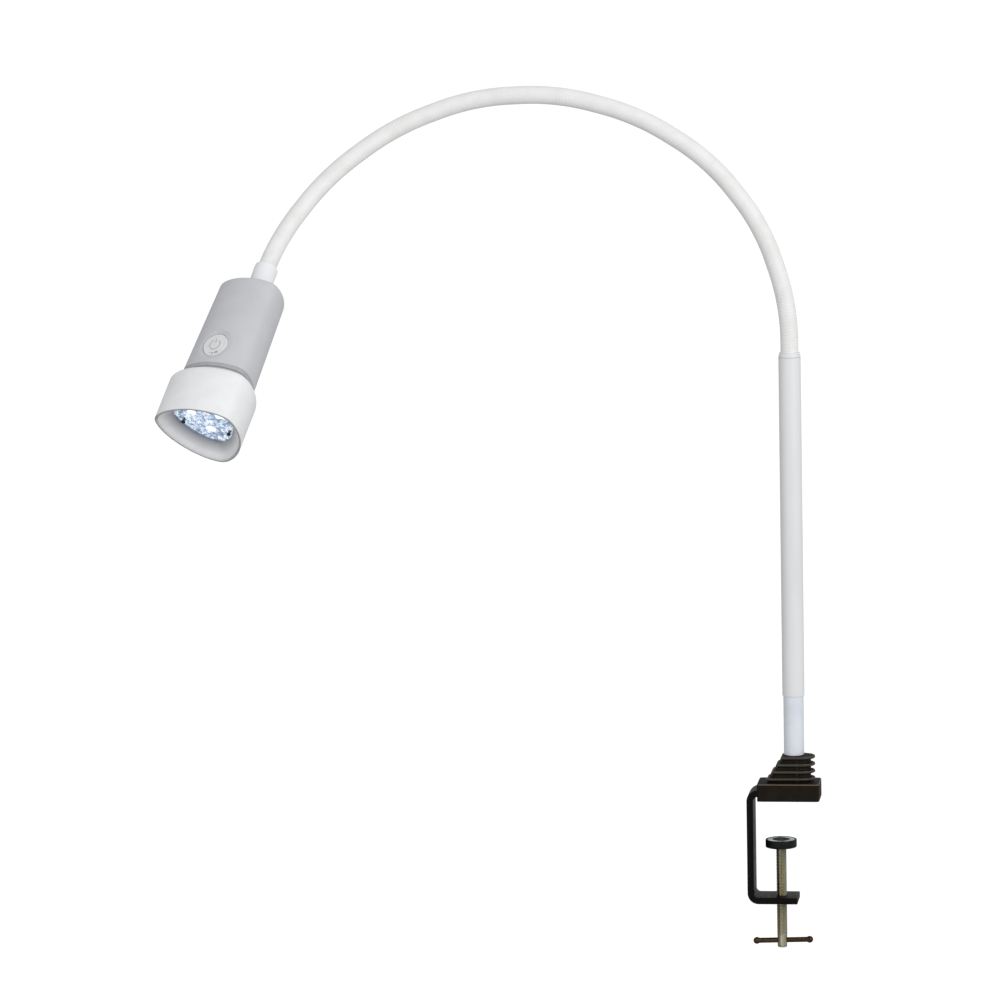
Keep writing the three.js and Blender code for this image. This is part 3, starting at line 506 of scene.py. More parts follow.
def make_looks():
    steel = Look("black_steel", (13, 9, 6), 0.34, 0, 0.07)
    steel.tone(9, (15, 11, 7), 0.8).tone(1.2, (7, 5, 4), 0.5)
    steel.rough(4, 0.28, 0.46).grain(0.9, 0.03).grain(7, 0.06)

    plastic = Look("black_plastic", (25, 21, 16), 0.5, 0, 0.07)
    plastic.tone(0.9, (37, 30, 21), 0.9).tone(12, (20, 17, 13), 0.6)
    plastic.rough(2, 0.45, 0.66).grain(0.55, 0.05).grain(0.22, 0.02)

    rubber = Look("black_rubber", (26, 26, 27), 0.8, 0, 0.25)
    rubber.tone(3, (38, 38, 38), 0.7).rough(1.5, 0.7, 0.9).grain(0.4, 0.04)

    grey_rubber = Look("grey_rubber", (176, 176, 179), 0.7, 0, 0.3)
    grey_rubber.tone(4, (166, 166, 169), 0.7).rough(1.5, 0.6, 0.8).grain(0.35, 0.02)

    pad = Look("pad_plastic", (16, 18, 19), 0.4, 0, 0.12)
    pad.tone(1.4, (24, 26, 27), 0.7)
    pad.rough(1, 0.34, 0.55).grain(0.4, 0.03)

    brass = Look("brass", (196, 164, 96), 0.35, 1)
    brass.tone(4, (160, 126, 66), 0.6).rough(2, 0.28, 0.45).grain(0.3, 0.01, stretch=(1, 1, 6))

    zinc = Look("zinc", (150, 145, 118), 0.3, 1)
    # painted reflections: the pale and the brown streaks run along the screw as a turned rod's reflections do;
    # the small brown patches vary the plating at random
    zinc.tone(2.6, (206, 204, 190), 0.7, stretch=(1, 1, 0.02)).tone(0.7, (84, 72, 54), 0.5, 0.58, 0.7)
    zinc.tone(3, (104, 80, 50), 0.95, 0.5, 0.58, stretch=(1, 1, 0.012))
    zinc.rough(1.2, 0.26, 0.5).grain(0.4, 0.015)

    oxide = Look("black_oxide", (34, 36, 42), 0.4, 0.9)
    oxide.tone(0.8, (60, 62, 70), 0.6).rough(0.6, 0.3, 0.5).grain(0.3, 0.01)

    bronze = Look("bronzed_steel", (66, 50, 34), 0.26, 1)
    bronze.tone(3, (32, 25, 18), 0.9, stretch=(0.4, 1, 1)).tone(0.8, (112, 90, 64), 0.5)
    bronze.rough(1.4, 0.22, 0.44).grain(0.6, 0.02)

    enamel = Look("mast_metal", (224, 229, 235), 0.3, 0, 0.5, 0.4, 0.12)
    enamel.tone(16, (214, 220, 228), 0.7).rough(5, 0.26, 0.38).grain(1.6, 0.012)

    pale = Look("pale_plastic", (226, 227, 227), 0.42, 0, 0.45)
    pale.tone(20, (219, 221, 222), 0.8, stretch=(1, 1, 0.2)).rough(3, 0.36, 0.5).grain(0.5, 0.012)

    vinyl = Look("white_vinyl", (237, 237, 235), 0.46, 0, 0.45)
    vinyl.tone(14, (229, 229, 226), 0.8).tone(1.5, (240, 240, 239), 0.4).rough(2, 0.4, 0.55)
    vinyl.grain(0.6, 0.012)

    spring = Look("spring_steel", (150, 152, 155), 0.28, 1)
    spring.tone(2, (120, 122, 126), 0.6).rough(1, 0.2, 0.4)

    grey = Look("grey_plastic", (200, 200, 203), 0.44, 0, 0.4)
    # the edge colour is a painted highlight along the housing's sharply turned edges
    grey.tone(0.8, (193, 193, 197), 0.8).tone(18, (203, 203, 206), 0.6).edge((214, 214, 217), 0.4)
    grey.rough(2, 0.38, 0.5).grain(0.45, 0.016)

    white = Look("white_plastic", (240, 240, 241), 0.36, 0, 0.5)
    white.tone(18, (234, 234, 236), 0.8).rough(3, 0.3, 0.42).grain(0.5, 0.008)

    baffle = Look("baffle_grey", (238, 238, 239), 0.36, 0, 0.45)
    # painted shade: the cone grows darker towards the window, deep inside the cup
    baffle.tone(8, (230, 231, 232), 0.8).along(HEAD, WINDOW_Z + 1, WINDOW_Z + 9, (160, 161, 165), 1.0)
    baffle.rough(2, 0.3, 0.42).grain(0.4, 0.01)

    # painted shade: a grey line for the front shade's rim face
    rim = Look("rim_painted_shade", (176, 174, 170), 0.5, 0, 0.4)
    rim.tone(3, (166, 164, 161), 0.7).rough(1, 0.42, 0.56).grain(0.4, 0.01)

    key = Look("key_grey", (224, 225, 225), 0.42, 0, 0.4)
    key.tone(5, (217, 218, 218), 0.8).rough(1, 0.36, 0.5).grain(0.35, 0.01)

    # The first three are painted highlights: on the hood's top edge, the fins' top edges and the pad's tooth
    # crests. The others are the parts' own colours.
    for name, tones in {
        "hood_edge_highlight": ((104, 88, 68), (84, 70, 54)),
        "fin_edge_highlight": ((50, 41, 31), (38, 31, 23)),
        "tooth_crest_highlight": ((206, 208, 208), (170, 172, 173)),
        "mark_light": ((190, 191, 190), (180, 181, 180)),
        "mark_dark": ((158, 160, 160), (146, 148, 148)),
        "capacitor_sleeve": ((40, 52, 82), (28, 38, 60)),
        "circuit_green": ((38, 96, 62), (26, 74, 48)),
        "board_white": ((120, 132, 150), (92, 102, 120)),
        "aluminium": ((190, 192, 194), (165, 167, 170)),
    }.items():
        metallic = 1.0 if name == "aluminium" else 0.0
        Look(name, tones[0], 0.42, metallic).tone(1.2, tones[1], 0.7).rough(1, 0.35, 0.5)

    # clear plastic: mostly see-through, with a sharp gloss
    Look("clear", (222, 232, 245), 0.05).rough(6, 0.03, 0.08).set("Alpha", 0.1)
    # led_yellow is the LEDs' own light; glow is a painted highlight for the lens centres
    for name, colour, strength in (("led_yellow", (255, 250, 225), 2.5), ("glow", (236, 245, 255), 1.1)):
        Look(name, colour, 0.4).tone(1, colour, 0.5).glow(linear(colour), strength)
    make_lens_look()


def make_lens_look():
    """Lens plastic painted as lit: a glow of bright bluish facets of two sizes with a few darker ones between
    them, painted glints of light caught in the facets.
    """
    look = Look("lens", (158, 174, 196), 0.1)
    values = []
    for pitch in (3.4, 1.3):
        warp = look.node("TexNoise", Scale=1 / (2.5 * MM), Detail=1.0)
        look.link(look.coordinates, warp.inputs["Vector"])
        bent = look.node("VectorMath", "MULTIPLY_ADD")
        bent.inputs[1].default_value = (2.6 * MM, 2.6 * MM, 2.6 * MM)
        look.link(warp.outputs["Color"], bent.inputs[0])
        look.link(look.coordinates, bent.inputs[2])
        cells = look.node("TexVoronoi", Scale=1 / (pitch * MM), Randomness=1.0)
        look.link(bent.outputs["Vector"], cells.inputs["Vector"])
        grey = look.node("RGBToBW")
        look.link(cells.outputs["Color"], grey.inputs["Color"])
        values.append(grey.outputs["Val"])
    blend = look.node("Math", "MULTIPLY_ADD")
    blend.inputs[1].default_value = 0.55
    look.link(values[0], blend.inputs[0])
    look.link(look.ranged(values[1], 0, 1, 0, 0.45), blend.inputs[2])
    ramp = look.node("ValToRGB")
    look.link(blend.outputs[0], ramp.inputs["Fac"])
    stops = ramp.color_ramp.elements
    stops[0].position, stops[0].color = 0.28, linear((50, 62, 82))
    stops[1].position, stops[1].color = 0.68, (1, 1, 1, 1)
    for position, colour in ((0.39, (112, 134, 160)), (0.48, (170, 188, 208)), (0.58, (214, 226, 240))):
        stops.new(position).color = linear(colour)
    look.link(ramp.outputs["Color"], look.shader.inputs["Emission Color"])
    look.set("Emission Strength", 0.9)


def dress(obj, look):
    obj.data.materials.clear()
    obj.data.materials.append(LOOKS[look])


def paint(obj, look, test, place=HERE):
    """Gives another finish to the faces whose centre, in the place's own millimetres, passes the test."""
    obj.data.materials.append(LOOKS[look])
    index = len(obj.data.materials) - 1
    for face in obj.data.polygons:
        centre = (np.array(face.center) / MM - place.origin) @ place.axes
        if test(centre):
            face.material_index = index


def stand(obj, body, look, *nodes, slot=None):
    """Gives a piece its body and finish, and lets it stand for CAD nodes, whose parts it hides.
    The slot argument is not used."""
    dress(obj, look)
    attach(obj, body)
    if nodes:
        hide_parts(*nodes)


# ---- clamp


def clamp_bar():
    """The flat bar bent to a C, followed from the upper arm's end to the lower arm's."""
    half = BAR_THICK / 2
    mid = BEND_RADIUS - half
    bend_x = SPINE_X + BEND_RADIUS
    upper, lower = FRAME_TOP - BEND_RADIUS, FRAME_BOTTOM + BEND_RADIUS
    stations = []  # centre x, z and the direction away from the throat
    for x in (UPPER_ARM_END - 0.9, bend_x + 8, bend_x + 1):
        stations.append((x, FRAME_TOP - half, 90))
    for bend_z, first in ((upper, 90), (lower, 180)):
        for i, (x, z) in enumerate(arc(bend_x, bend_z, mid, first, first + 90, 16)):
            stations.append((x, z, first + 90 * i / 16))
    for x in (bend_x + 1, bend_x + 8, LOWER_ARM_END - 0.9):
        stations.append((x, FRAME_BOTTOM + half, 270))

    def ring(station, inset=0.0, slide=0.0):
        x, z, angle = station
        thick, wide = half - inset, BAR_WIDTH / 2 - inset
        across = rounded_box_outline(-thick, thick, -wide, wide, BAR_CORNER, 4)
        u, w = cos(radians(angle)), sin(radians(angle))
        return np.column_stack([x + slide + across[:, 0] * u, across[:, 1], z + across[:, 0] * w])

    rings = [ring(stations[0], 0.9, 0.9), ring(stations[0], 0.26, 0.64)]
    rings += [ring(station) for station in stations]
    rings += [ring(stations[-1], 0.26, 0.64), ring(stations[-1], 0.9, 0.9)]
    bar = skin("clamp_bar", rings)
    combine(bar, [cylinder(THREAD_RADIUS + GAP, FRAME_BOTTOM - 2, FRAME_BOTTOM + BAR_THICK + 2),
                  cylinder(RETAINER_BORE, 0, FRAME_TOP + 2, MAST)])
    stand(bar, "clamp", "black_steel", "clamp_frame")


def hood_cover():
    """The moulded hood, with a round top edge, open below and on the side the bar leaves by."""
    half = HOOD_DEPTH / 2

    def ring(inset, z):
        radius = max(3 - inset, 1.2)
        depth = half - inset
        outline = rounded_box_outline(HOOD_LEFT + inset, HOOD_RIGHT - inset, -depth, depth, radius)
        return at_height(outline, z)

    top = [ring(HOOD_EDGE + x, z) for x, z in arc(0, HOOD_TOP - HOOD_EDGE, HOOD_EDGE, 180, 90, 5)]
    outside = [ring(0.4, HOOD_BOTTOM), ring(0, HOOD_BOTTOM + 0.4), *top]
    inside = [ring(HOOD_WALL, HOOD_TOP - HOOD_WALL), ring(HOOD_WALL, HOOD_BOTTOM)]
    hood = skin("hood_cover", [*inside, *outside])
    slot = BAR_WIDTH / 2 + GAP
    combine(hood, [block("tool", (HOOD_LEFT - 2, -slot, -2), (HOOD_LEFT + 4, slot, FRAME_TOP + GAP)),
                   cylinder(BUSH_RADIUS + GAP, 2, HOOD_TOP + 2, MAST)])
    stand(hood, "clamp", "black_plastic", "clamp_hood")
    # painted highlight on the hood's round top edge
    paint(hood, "hood_edge_highlight", lambda p: HOOD_TOP - 0.95 < p[2] < HOOD_TOP - 0.2)


def tower_outline(inset, z):
    """The tower's plan at a height: a sloping left side and a round right end."""
    half = FIN_DEPTH / 2 - inset
    slope = (TOWER_LEFT_BOTTOM - TOWER_LEFT_TOP) / (HOOD_TOP - TOWER_TOP)
    left = TOWER_LEFT_TOP + inset + slope * (z - TOWER_TOP) + TOWER_CORNER
    centre = FIN_RIGHT - inset * FIN_END_OVERHANG / FIN_OVERHANG - half
    points = arc(centre, 0, half, -90, 90, 20)
    points += arc(left, half - TOWER_CORNER, TOWER_CORNER, 90, 180, 6)
    points += arc(left, TOWER_CORNER - half, TOWER_CORNER, 180, 270, 6)
    return at_height(np.array(points), z)


def bellows_tower():
    """Four rounded fins on a narrower core, made as one wavy wall."""
    wall = []  # inset from the fins' edge, and height
    groove = FIN_OVERHANG
    bottom = HOOD_TOP + 0.03
    edge = 1.15
    for i in reversed(range(FIN_COUNT)):
        top = TOWER_TOP - i * FIN_PITCH
        low = top - FIN_THICK
        start = bottom if i == FIN_COUNT - 1 else top - FIN_PITCH + 0.5
        wall += [(groove, start), (groove, low - 0.4), (groove - 0.4, low)]
        wall += [(edge + x, z) for x, z in arc(0, low + edge, edge, 270, 180, 4)]
        wall += [(edge + x, z) for x, z in arc(0, top - edge, edge, 180, 90, 4)]
        if i:
            wall.append((groove - 0.4, top))
    tower = skin("bellows_tower", [tower_outline(inset, z) for inset, z in wall], sharp=50)
    half = TOWER_RIB_WIDTH / 2
    depth = FIN_DEPTH / 2 - 0.7
    rib = block("tool", (TOWER_RIB_X - half, -depth, bottom), (TOWER_RIB_X + half, depth, TOWER_TOP - 1.2))
    combine(tower, [rib], "UNION", 50)
    combine(tower, [cylinder(BUSH_RADIUS + GAP, bottom - 2, TOWER_TOP + 2, MAST)], sharp=50)
    stand(tower, "clamp", "black_plastic", "ribbed_tower")
    # painted highlight on the upper edges of the fins
    paint(tower, "fin_edge_highlight", lambda p: 0.1 < (TOWER_TOP - p[2]) % FIN_PITCH < 2.4)


def pad_disc():
    """The pressure pad: a disc with a ring of radial teeth and two round grooves on its face."""
    sides = 6 * PAD_TEETH
    angle = ring_angles(sides)
    tooth = 0.5 - 0.5 * np.cos(PAD_TEETH * angle)
    bottom = PAD_TOP - PAD_THICK
    roof = bottom + SOCKET_DEPTH
    body = [(0, roof), (SOCKET_BORE, roof), (SOCKET_BORE, bottom), (PAD_RADIUS - 0.9, bottom),
            (PAD_RADIUS - 0.25, bottom + 0.3), (PAD_RADIUS, bottom + 0.9), (PAD_RADIUS, PAD_TOP - 0.7),
            (PAD_RADIUS - 0.2, PAD_TOP - 0.2), (PAD_RADIUS - 0.7, PAD_TOP)]
    # radius, depth and, where the teeth are, how much deeper their hollows go
    face = [(14.2, 0, 0), (13.9, 0.5, 0), (13.5, 0.1, 0.6), (11.2, 0.05, 0.65), (8.9, 0.1, 0.6),
            (8.5, 0.5, 0), (8.2, 0, 0), (6.9, 0, 0), (6.6, 0.45, 0), (5.9, 0.45, 0), (5.6, 0, 0),
            (4.4, 0, 0), (4.1, 0.5, 0), (3.2, 0.55, 0), (2.9, 0.1, 0), (1.4, 0.15, 0)]
    rings = circles(body, sides)
    rings += [polar(radius, angle, PAD_TOP - depth - hollows * tooth) for radius, depth, hollows in face]
    rings.append(np.array([[0, 0, PAD_TOP - 0.2]]))
    pad = skin("pad_disc", rings, sharp=28)
    stand(pad, "pad", "pad_plastic", "pressure_pad", slot="black_plastic")
    # painted highlight: the tooth crests are light grey
    paint(pad, "tooth_crest_highlight", lambda p: 8.7 < hypot(p[0], p[1]) < 13.7 and p[2] > PAD_TOP - 0.4)


def screw_thread():
    """The clamp screw with its real thread, a plain turned end and the tommy bar's cross hole."""
    sides = 40
    angle = ring_angles(sides)
    shoulder = PAD_TOP - PAD_THICK - GAP
    pin_top = shoulder + SOCKET_DEPTH
    pin_radius = SOCKET_BORE - GAP
    radius, bottom = SCREW_END_RADIUS, SCREW_BOTTOM
    end = [(0, bottom), (radius - 1, bottom), (radius - 0.25, bottom + 0.35), (radius, bottom + 1)]
    end += [(radius, z) for z in np.linspace(TOMMY_Z - 3.5, THREAD_BOTTOM, 6)]
    rings = circles(end, sides)
    for z in np.arange(THREAD_BOTTOM + 0.4, shoulder - 0.5, THREAD_PITCH / 6):
        turn = (z / THREAD_PITCH - angle / (2 * pi)) % 1
        groove = np.clip(1.25 - 4 * np.abs(turn - 0.5), 0, 1)
        run_out = min(1.0, (z - THREAD_BOTTOM) / 2, (shoulder - z) / 2)
        rings.append(polar(THREAD_RADIUS - THREAD_DEPTH * groove * run_out, angle, z))
    pin = [(pin_radius + 0.2, shoulder), (pin_radius, shoulder + 0.1), (pin_radius, pin_top), (0, pin_top)]
    screw = skin("screw_thread", rings + circles(pin, sides), sharp=30)
    bar_axis = (cos(radians(TOMMY_TURN)), sin(radians(TOMMY_TURN)), 0)
    hole = cylinder(TOMMY_RADIUS + GAP, -9, 9, Place((0, 0, TOMMY_Z), lying(bar_axis)), 32)
    combine(screw, [hole], sharp=30)
    stand(screw, "screw", "zinc", "clamp_screw")


def tommy_rod():
    """A round bar with swaged balls at its ends."""
    reach = TOMMY_HALF_LENGTH - TOMMY_BALL_RADIUS
    neck = np.arcsin(TOMMY_RADIUS / TOMMY_BALL_RADIUS)
    half = [(0, reach + TOMMY_BALL_RADIUS)]
    for a in np.linspace(0.12, pi - neck - 0.08, 16):
        half.append((TOMMY_BALL_RADIUS * sin(a), reach + TOMMY_BALL_RADIUS * cos(a)))
    end = half[-1][1]
    half += [(TOMMY_RADIUS + 0.05, end - 0.5), (TOMMY_RADIUS, end - 1.2), (TOMMY_RADIUS, end - 8)]
    profile = half + [(radius, -z) for radius, z in reversed(half)]
    axis = np.array([cos(radians(TOMMY_TURN)), sin(radians(TOMMY_TURN)), 0])
    place = Place(axis * TOMMY_OFFSET + np.array([0, 0, TOMMY_Z]), lying(axis))
    rod = turned("tommy_rod", profile, place, 40)
    stand(rod, "tommy", "bronzed_steel", "tommy_bar")


# ---- mast


def through_mast(z):
    """A place at a height of the mast whose Z runs straight back."""
    return Place((MAST_X, 0, z), lying((0, 1, 0)))


def mast_pieces():
    foot = FRAME_TOP + 1
    spigot = [(RETAINER_BORE, foot), (8, foot), (8, SHOULDER_Z), (TUBE_RADIUS, SHOULDER_Z),
              (TUBE_RADIUS, TUBE_TOP), (8.5, TUBE_TOP), (8.5, SHOULDER_Z + 6), (RETAINER_BORE, SHOULDER_Z - 4)]
    tube = hollow("mast_tube", spigot, [0.3, 0.4, 0.1, 0.7, 0.3, 0.3, 0.5, 0.5], MAST, 3)
    combine(tube, [cylinder(LEAD_BORE, 0, 20, through_mast(GROMMET_Z), 32)])
    stand(tube, "mast", "mast_metal", "spigot_tube")

    low, top, wide = SLEEVE_BOTTOM, SLEEVE_TOP, SLEEVE_RADIUS
    sleeve = [(SLEEVE_BORE, low), (wide, low), (wide, top), (SLEEVE_BORE, top)]
    cover = hollow("mast_cover", sleeve, [0.2, 0.5, 0.15, 0.1], MAST)
    combine(cover, [cylinder(SET_SCREW_BORE, 4, 20, through_mast(SET_SCREW_Z), 24)])
    stand(cover, "mast", "pale_plastic", "mast_sleeve")

    bore = HOSE_RADIUS + GAP
    floor = TUBE_TOP + GAP
    mouth = HOSE_START_Z
    socket = [(5, floor), (TUBE_RADIUS, floor), (TUBE_RADIUS, top + GAP), (wide, top + GAP),
              (wide, top + 0.9), (bore + 0.75, mouth - 0.25), (bore + 0.15, mouth), (bore, mouth - 0.8),
              (bore, floor + 2), (5, floor + 2)]
    ring = hollow("hose_socket_ring", socket, [0, 0.2, 0, 0.1, 0.8, 0.7, 0.1, 0.1, 0, 0], MAST)
    combine(ring, [cylinder(SET_SCREW_BORE, 4, 20, through_mast(SET_SCREW_Z), 24)])
    stand(ring, "mast", "pale_plastic", "hose_socket")

    gland = [(2.5, 6.8), (4, 6.8), (4, 10.4), (6, 10.4), (6, 12.6), (4.6, 14.2), (4.3, 16), (2.5, 16)]
    radii = [0.2, 0.2, 0.1, 0.6, 0.6, 0.4, 0.5, 0.4]
    grommet = hollow("cord_outlet", gland, radii, through_mast(GROMMET_Z), 3, 48)
    stand(grommet, "mast", "black_rubber", "cable_grommet")


# ---- gooseneck


def hose_direction(i):
    pitch, yaw = radians(HOSE_PITCH[i]), radians(HOSE_YAW[i])
    return np.array([-sin(pitch) * cos(yaw), -sin(yaw), cos(pitch) * cos(yaw)])


def turn_about(v, axis, angle):
    return v * cos(angle) + np.cross(axis, v) * sin(angle) + axis * (axis @ v) * (1 - cos(angle))


SEGMENTS = len(HOSE_PITCH) - 1
SEGMENT_LENGTH = HOSE_LENGTH / SEGMENTS


def hose_line():
    """The centreline as distances, points and directions, and where each segment starts."""
    at, points, directions, starts = [], [], [], []
    start = np.array([MAST_X, 0, HOSE_START_Z], float)
    for i in range(SEGMENTS):
        a, b = hose_direction(i), hose_direction(i + 1)
        angle = acos(float(np.clip(a @ b, -1, 1)))
        axis = unit(np.cross(a, b))
        inward = np.cross(axis, a)
        radius = (SEGMENT_LENGTH - HOSE_STUB) / angle
        starts.append(start)
        corner = start + a * HOSE_STUB
        for s in np.arange(0, SEGMENT_LENGTH, 0.5):
            turn = max(0.0, (s - HOSE_STUB) / radius)
            straight = min(s, HOSE_STUB)
            point = start + a * straight + a * radius * sin(turn) + inward * radius * (1 - cos(turn))
            at.append(i * SEGMENT_LENGTH + s)
            points.append(point)
            directions.append(turn_about(a, axis, turn))
        start = corner + a * radius * sin(angle) + inward * radius * (1 - cos(angle))
    starts.append(start)
    return np.array(at), np.array(points), np.array(directions), starts


HOSE_AT, HOSE_POINTS, HOSE_DIRECTIONS, PIVOTS = hose_line()


def hose_station(s):
    """The centreline's point and direction at a distance, run on straight past both ends."""
    if s <= 0:
        return PIVOTS[0] + hose_direction(0) * s, hose_direction(0)
    if s >= HOSE_LENGTH:
        last = hose_direction(SEGMENTS)
        return PIVOTS[-1] + last * (s - HOSE_LENGTH), last
    point = np.array([np.interp(s, HOSE_AT, HOSE_POINTS[:, k]) for k in range(3)])
    direction = np.array([np.interp(s, HOSE_AT, HOSE_DIRECTIONS[:, k]) for k in range(3)])
    return point, unit(direction)


def hose_covers():
    """The ribbed cover in pieces, each from the middle of one segment to the middle of the next,
    so that each spans one joint. A helical groove runs on from piece to piece."""
    angle = ring_angles(40)
    side = np.array([0.0, 1.0, 0.0])
    step = RIB_PITCH / 8
    stations = np.arange(-HOSE_HIDDEN, HOSE_LENGTH + HOSE_HIDDEN + step, step)
    outside, inside = [], []
    for s in stations:
        point, direction = hose_station(s)
        side = unit(side - direction * (side @ direction))
        across = np.cross(direction, side)
        turn = (s / RIB_PITCH - angle / (2 * pi)) % 1
        depth = RIB_DEPTH * np.interp(s, [0, 200, 420, 743], [1, 0.8, 0.6, 0.75])
        radius = HOSE_RADIUS - depth * (1 - np.sqrt(np.sin(pi * turn)))
        out = np.outer(np.cos(angle), side) + np.outer(np.sin(angle), across)
        outside.append(point + radius[:, None] * out)
        inside.append(point + HOSE_BORE * out)
    middles = [(i + 0.5) * SEGMENT_LENGTH for i in range(SEGMENTS)]
    for k in range(1, SEGMENTS):
        first = 0 if k == 1 else int(np.searchsorted(stations, middles[k - 1]))
        last = len(stations) - 1 if k == SEGMENTS - 1 else int(np.searchsorted(stations, middles[k]))
        outer = outside[first:last + 1]
        inner = inside[first:last + 1:8]
        if (last - first) % 8:
            inner.append(inside[last])
        cover = skin(f"hose_cover_{k}", [*outer, *inner[::-1]], sharp=80, closed=True)
        dress(cover, "white_vinyl")
        pivot, direction = PIVOTS[k], hose_direction(k)
        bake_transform(cover)
        nodes = [f"hose_sheath_{k}", f"hose_core_{k}"]
        if k == SEGMENTS - 1:
            nodes += [f"hose_sheath_{SEGMENTS}", f"hose_core_{SEGMENTS}"]
        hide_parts(*nodes)


# ---- head


def head_place():
    axis = hose_direction(SEGMENTS)
    pitch = radians(HOSE_PITCH[SEGMENTS])
    across = turn_about(np.array([-cos(pitch), 0, -sin(pitch)]), axis, radians(HEAD_ROLL))
    return Place(PIVOTS[-1] + axis * COLLAR_LENGTH, np.stack([across, np.cross(axis, across), axis], axis=1))


def on_circle(radius, angle):
    return (radius * cos(radians(angle)), radius * sin(radians(angle)), 0)


HEAD = head_place()
OPTIC_PLACES = [HEAD.moved(on_circle(OPTIC_CIRCLE, a)) for a in OPTIC_ANGLES]
WINDOW_SCREW_PLACES = [HEAD.moved(on_circle(WINDOW_SCREW_CIRCLE, a)) for a in WINDOW_SCREW_ANGLES]
BUTTON_OUT = np.array(on_circle(1, BUTTON_ANGLE))


def section(width, z, count=144):
    """A rounded triangle of constant width, with corners at 60, 180 and 300 degrees."""
    angle = ring_angles(count)
    wave = 3 * (angle - pi / 3)
    reach = width / 2 + LOBE * width * np.cos(wave)
    slide = -3 * LOBE * width * np.sin(wave)
    x = reach * np.cos(angle) - slide * np.sin(angle)
    y = reach * np.sin(angle) + slide * np.cos(angle)
    return np.stack([x, y, np.full(count, z)], axis=1)


def lobed(name, profile, closed=True, count=144):
    return skin(name, [section(width, z, count) for width, z in profile], HEAD, closed=closed)


def widths(profile, radii, steps):
    """Rounds the corners of a closed [width, z] profile, with radii measured on the wall itself."""
    halves = [(width / 2, z) for width, z in profile]
    return [(2 * x, z) for x, z in rounded(halves, radii, steps, True)]


# local Z points out of the button, local X along the head towards its neck
BUTTON_AXES = np.stack([[0, 0, -1], np.cross(BUTTON_OUT, [0, 0, -1]), BUTTON_OUT], axis=1)
BUTTON = HEAD.moved((0, 0, BUTTON_Z), BUTTON_AXES)


def neck_sleeve():
    """The white collar at the neck: the hose's socket behind, and the stem that holds the housing."""
    bore = HOSE_RADIUS + GAP
    mouth = -COLLAR_LENGTH
    floor = mouth + 18.3
    stem = NECK_HOLE - GAP
    profile = [(bore, mouth + 0.6), (bore + 0.5, mouth), (COLLAR_RADIUS - 0.5, mouth + 1),
               (COLLAR_RADIUS, mouth + 5), (COLLAR_RADIUS - 0.8, -GAP), (stem, -GAP), (stem, 9), (5, 9),
               (5, floor), (bore, floor)]
    collar = hollow("neck_sleeve", profile, [0.2, 0.2, 1.6, 2.5, 0.3, 0, 0.3, 0.2, 0.2, 0], HEAD, 6)
    stand(collar, "head", "white_plastic", "neck_collar")


def housing_shell():
    """The grey rear housing, with a shallow dish round the button."""
    rings = []
    count = 288
    edge = HOUSING_EDGE
    for a in np.linspace(0, pi / 2, 9):
        rings.append(section(HOUSING_REAR_WIDTH - 2 * edge * (1 - sin(a)), edge * (1 - cos(a)), count))

    def width_at(z):
        taper = (HOUSING_FRONT_WIDTH - HOUSING_REAR_WIDTH) / (HOUSING_LENGTH - edge)
        return HOUSING_REAR_WIDTH + taper * (z - edge)

    # rings lie close together where the dish is
    heights = [*np.arange(edge + 6, BUTTON_Z - 19, 8), *np.arange(BUTTON_Z - 18, BUTTON_Z + 18.1, 0.75)]
    rings += [section(width_at(z), z, count) for z in (*heights, 104, STEP_Z - 0.25)]
    step = width_at(STEP_Z) - 2 * STEP_DEPTH
    rings += [section(step + 2 * 0.3, STEP_Z, count), section(step, STEP_Z + 0.3, count)]
    rings += [section(step, HOUSING_LENGTH - 0.4, count), section(step - 0.8, HOUSING_LENGTH, count)]
    outer_count = len(rings) * count
    inside = 2 * HOUSING_WALL
    for z in (HOUSING_LENGTH, HOUSING_LENGTH - 4, 60, edge + 6, edge + 1):
        rings.append(section(width_at(z) - inside, z, count))
    rings.append(section(HOUSING_REAR_WIDTH - inside - 6, HOUSING_REAR_WALL, count))
    points, faces = strip(rings)
    # the two caps are the rear wall's outer and inner faces
    side = np.array([-BUTTON_OUT[1], BUTTON_OUT[0], 0])
    shell = points[:outer_count]
    far = np.hypot(shell @ side, shell[:, 2] - BUTTON_Z)
    level = shell @ BUTTON_OUT
    inward = np.clip((DISH_RADIUS + 0.7 - far) / 1.6, 0, 1)
    inward = inward * inward * (3 - 2 * inward)
    drop = np.where(level > 0, np.maximum(level - DISH_FLOOR, 0.6), 0) * inward
    points[:outer_count] = shell - np.outer(drop, BUTTON_OUT)
    housing = piece("housing_shell", HEAD.of(points), faces, 40)
    holes = [cylinder(BUTTON_RADIUS + 0.35, 20, 40, BUTTON, 96), cylinder(NECK_HOLE, -2, 6, HEAD)]
    combine(housing, holes, sharp=40)
    stand(housing, "head", "grey_plastic", "rear_housing")
    paint(housing, "grey_rubber", lambda p: p[2] > STEP_Z + 0.1, HEAD)


def seal_band():
    low, high = HOUSING_LENGTH + GAP, SHADE_REAR - GAP
    profile = [(SEAL_INNER, low), (SEAL_WIDTH, low), (SEAL_WIDTH, high), (SEAL_INNER, high)]
    band = lobed("seal_band", widths(profile, [0, 0.7, 0.7, 0], 4))
    stand(band, "head", "grey_rubber", "housing_seal", slot="black_rubber")


def shade_shell():
    """The white front shade, a deep cup with a round hole in its floor and its rim face painted grey as a line
    of shade.
    """
    inner = SHADE_WIDTH - 2 * SHADE_WALL
    floor = SHADE_REAR + 2.7
    hole, wide, front = 50, SHADE_WIDTH, HEAD_LENGTH
    profile = [(hole, SHADE_REAR), (wide, SHADE_REAR), (wide, front), (inner, front), (inner, floor),
               (hole, floor)]
    shade = lobed("shade_shell", widths(profile, [0, SHADE_SHOULDER, 0.7, 0.6, 5, 0], 10), count=192)
    stand(shade, "head", "white_plastic", "front_shade")
    # painted shade: the rim face is grey, a thin line of shade
    paint(shade, "rim_painted_shade", lambda p: p[2] > HEAD_LENGTH - 0.8, HEAD)


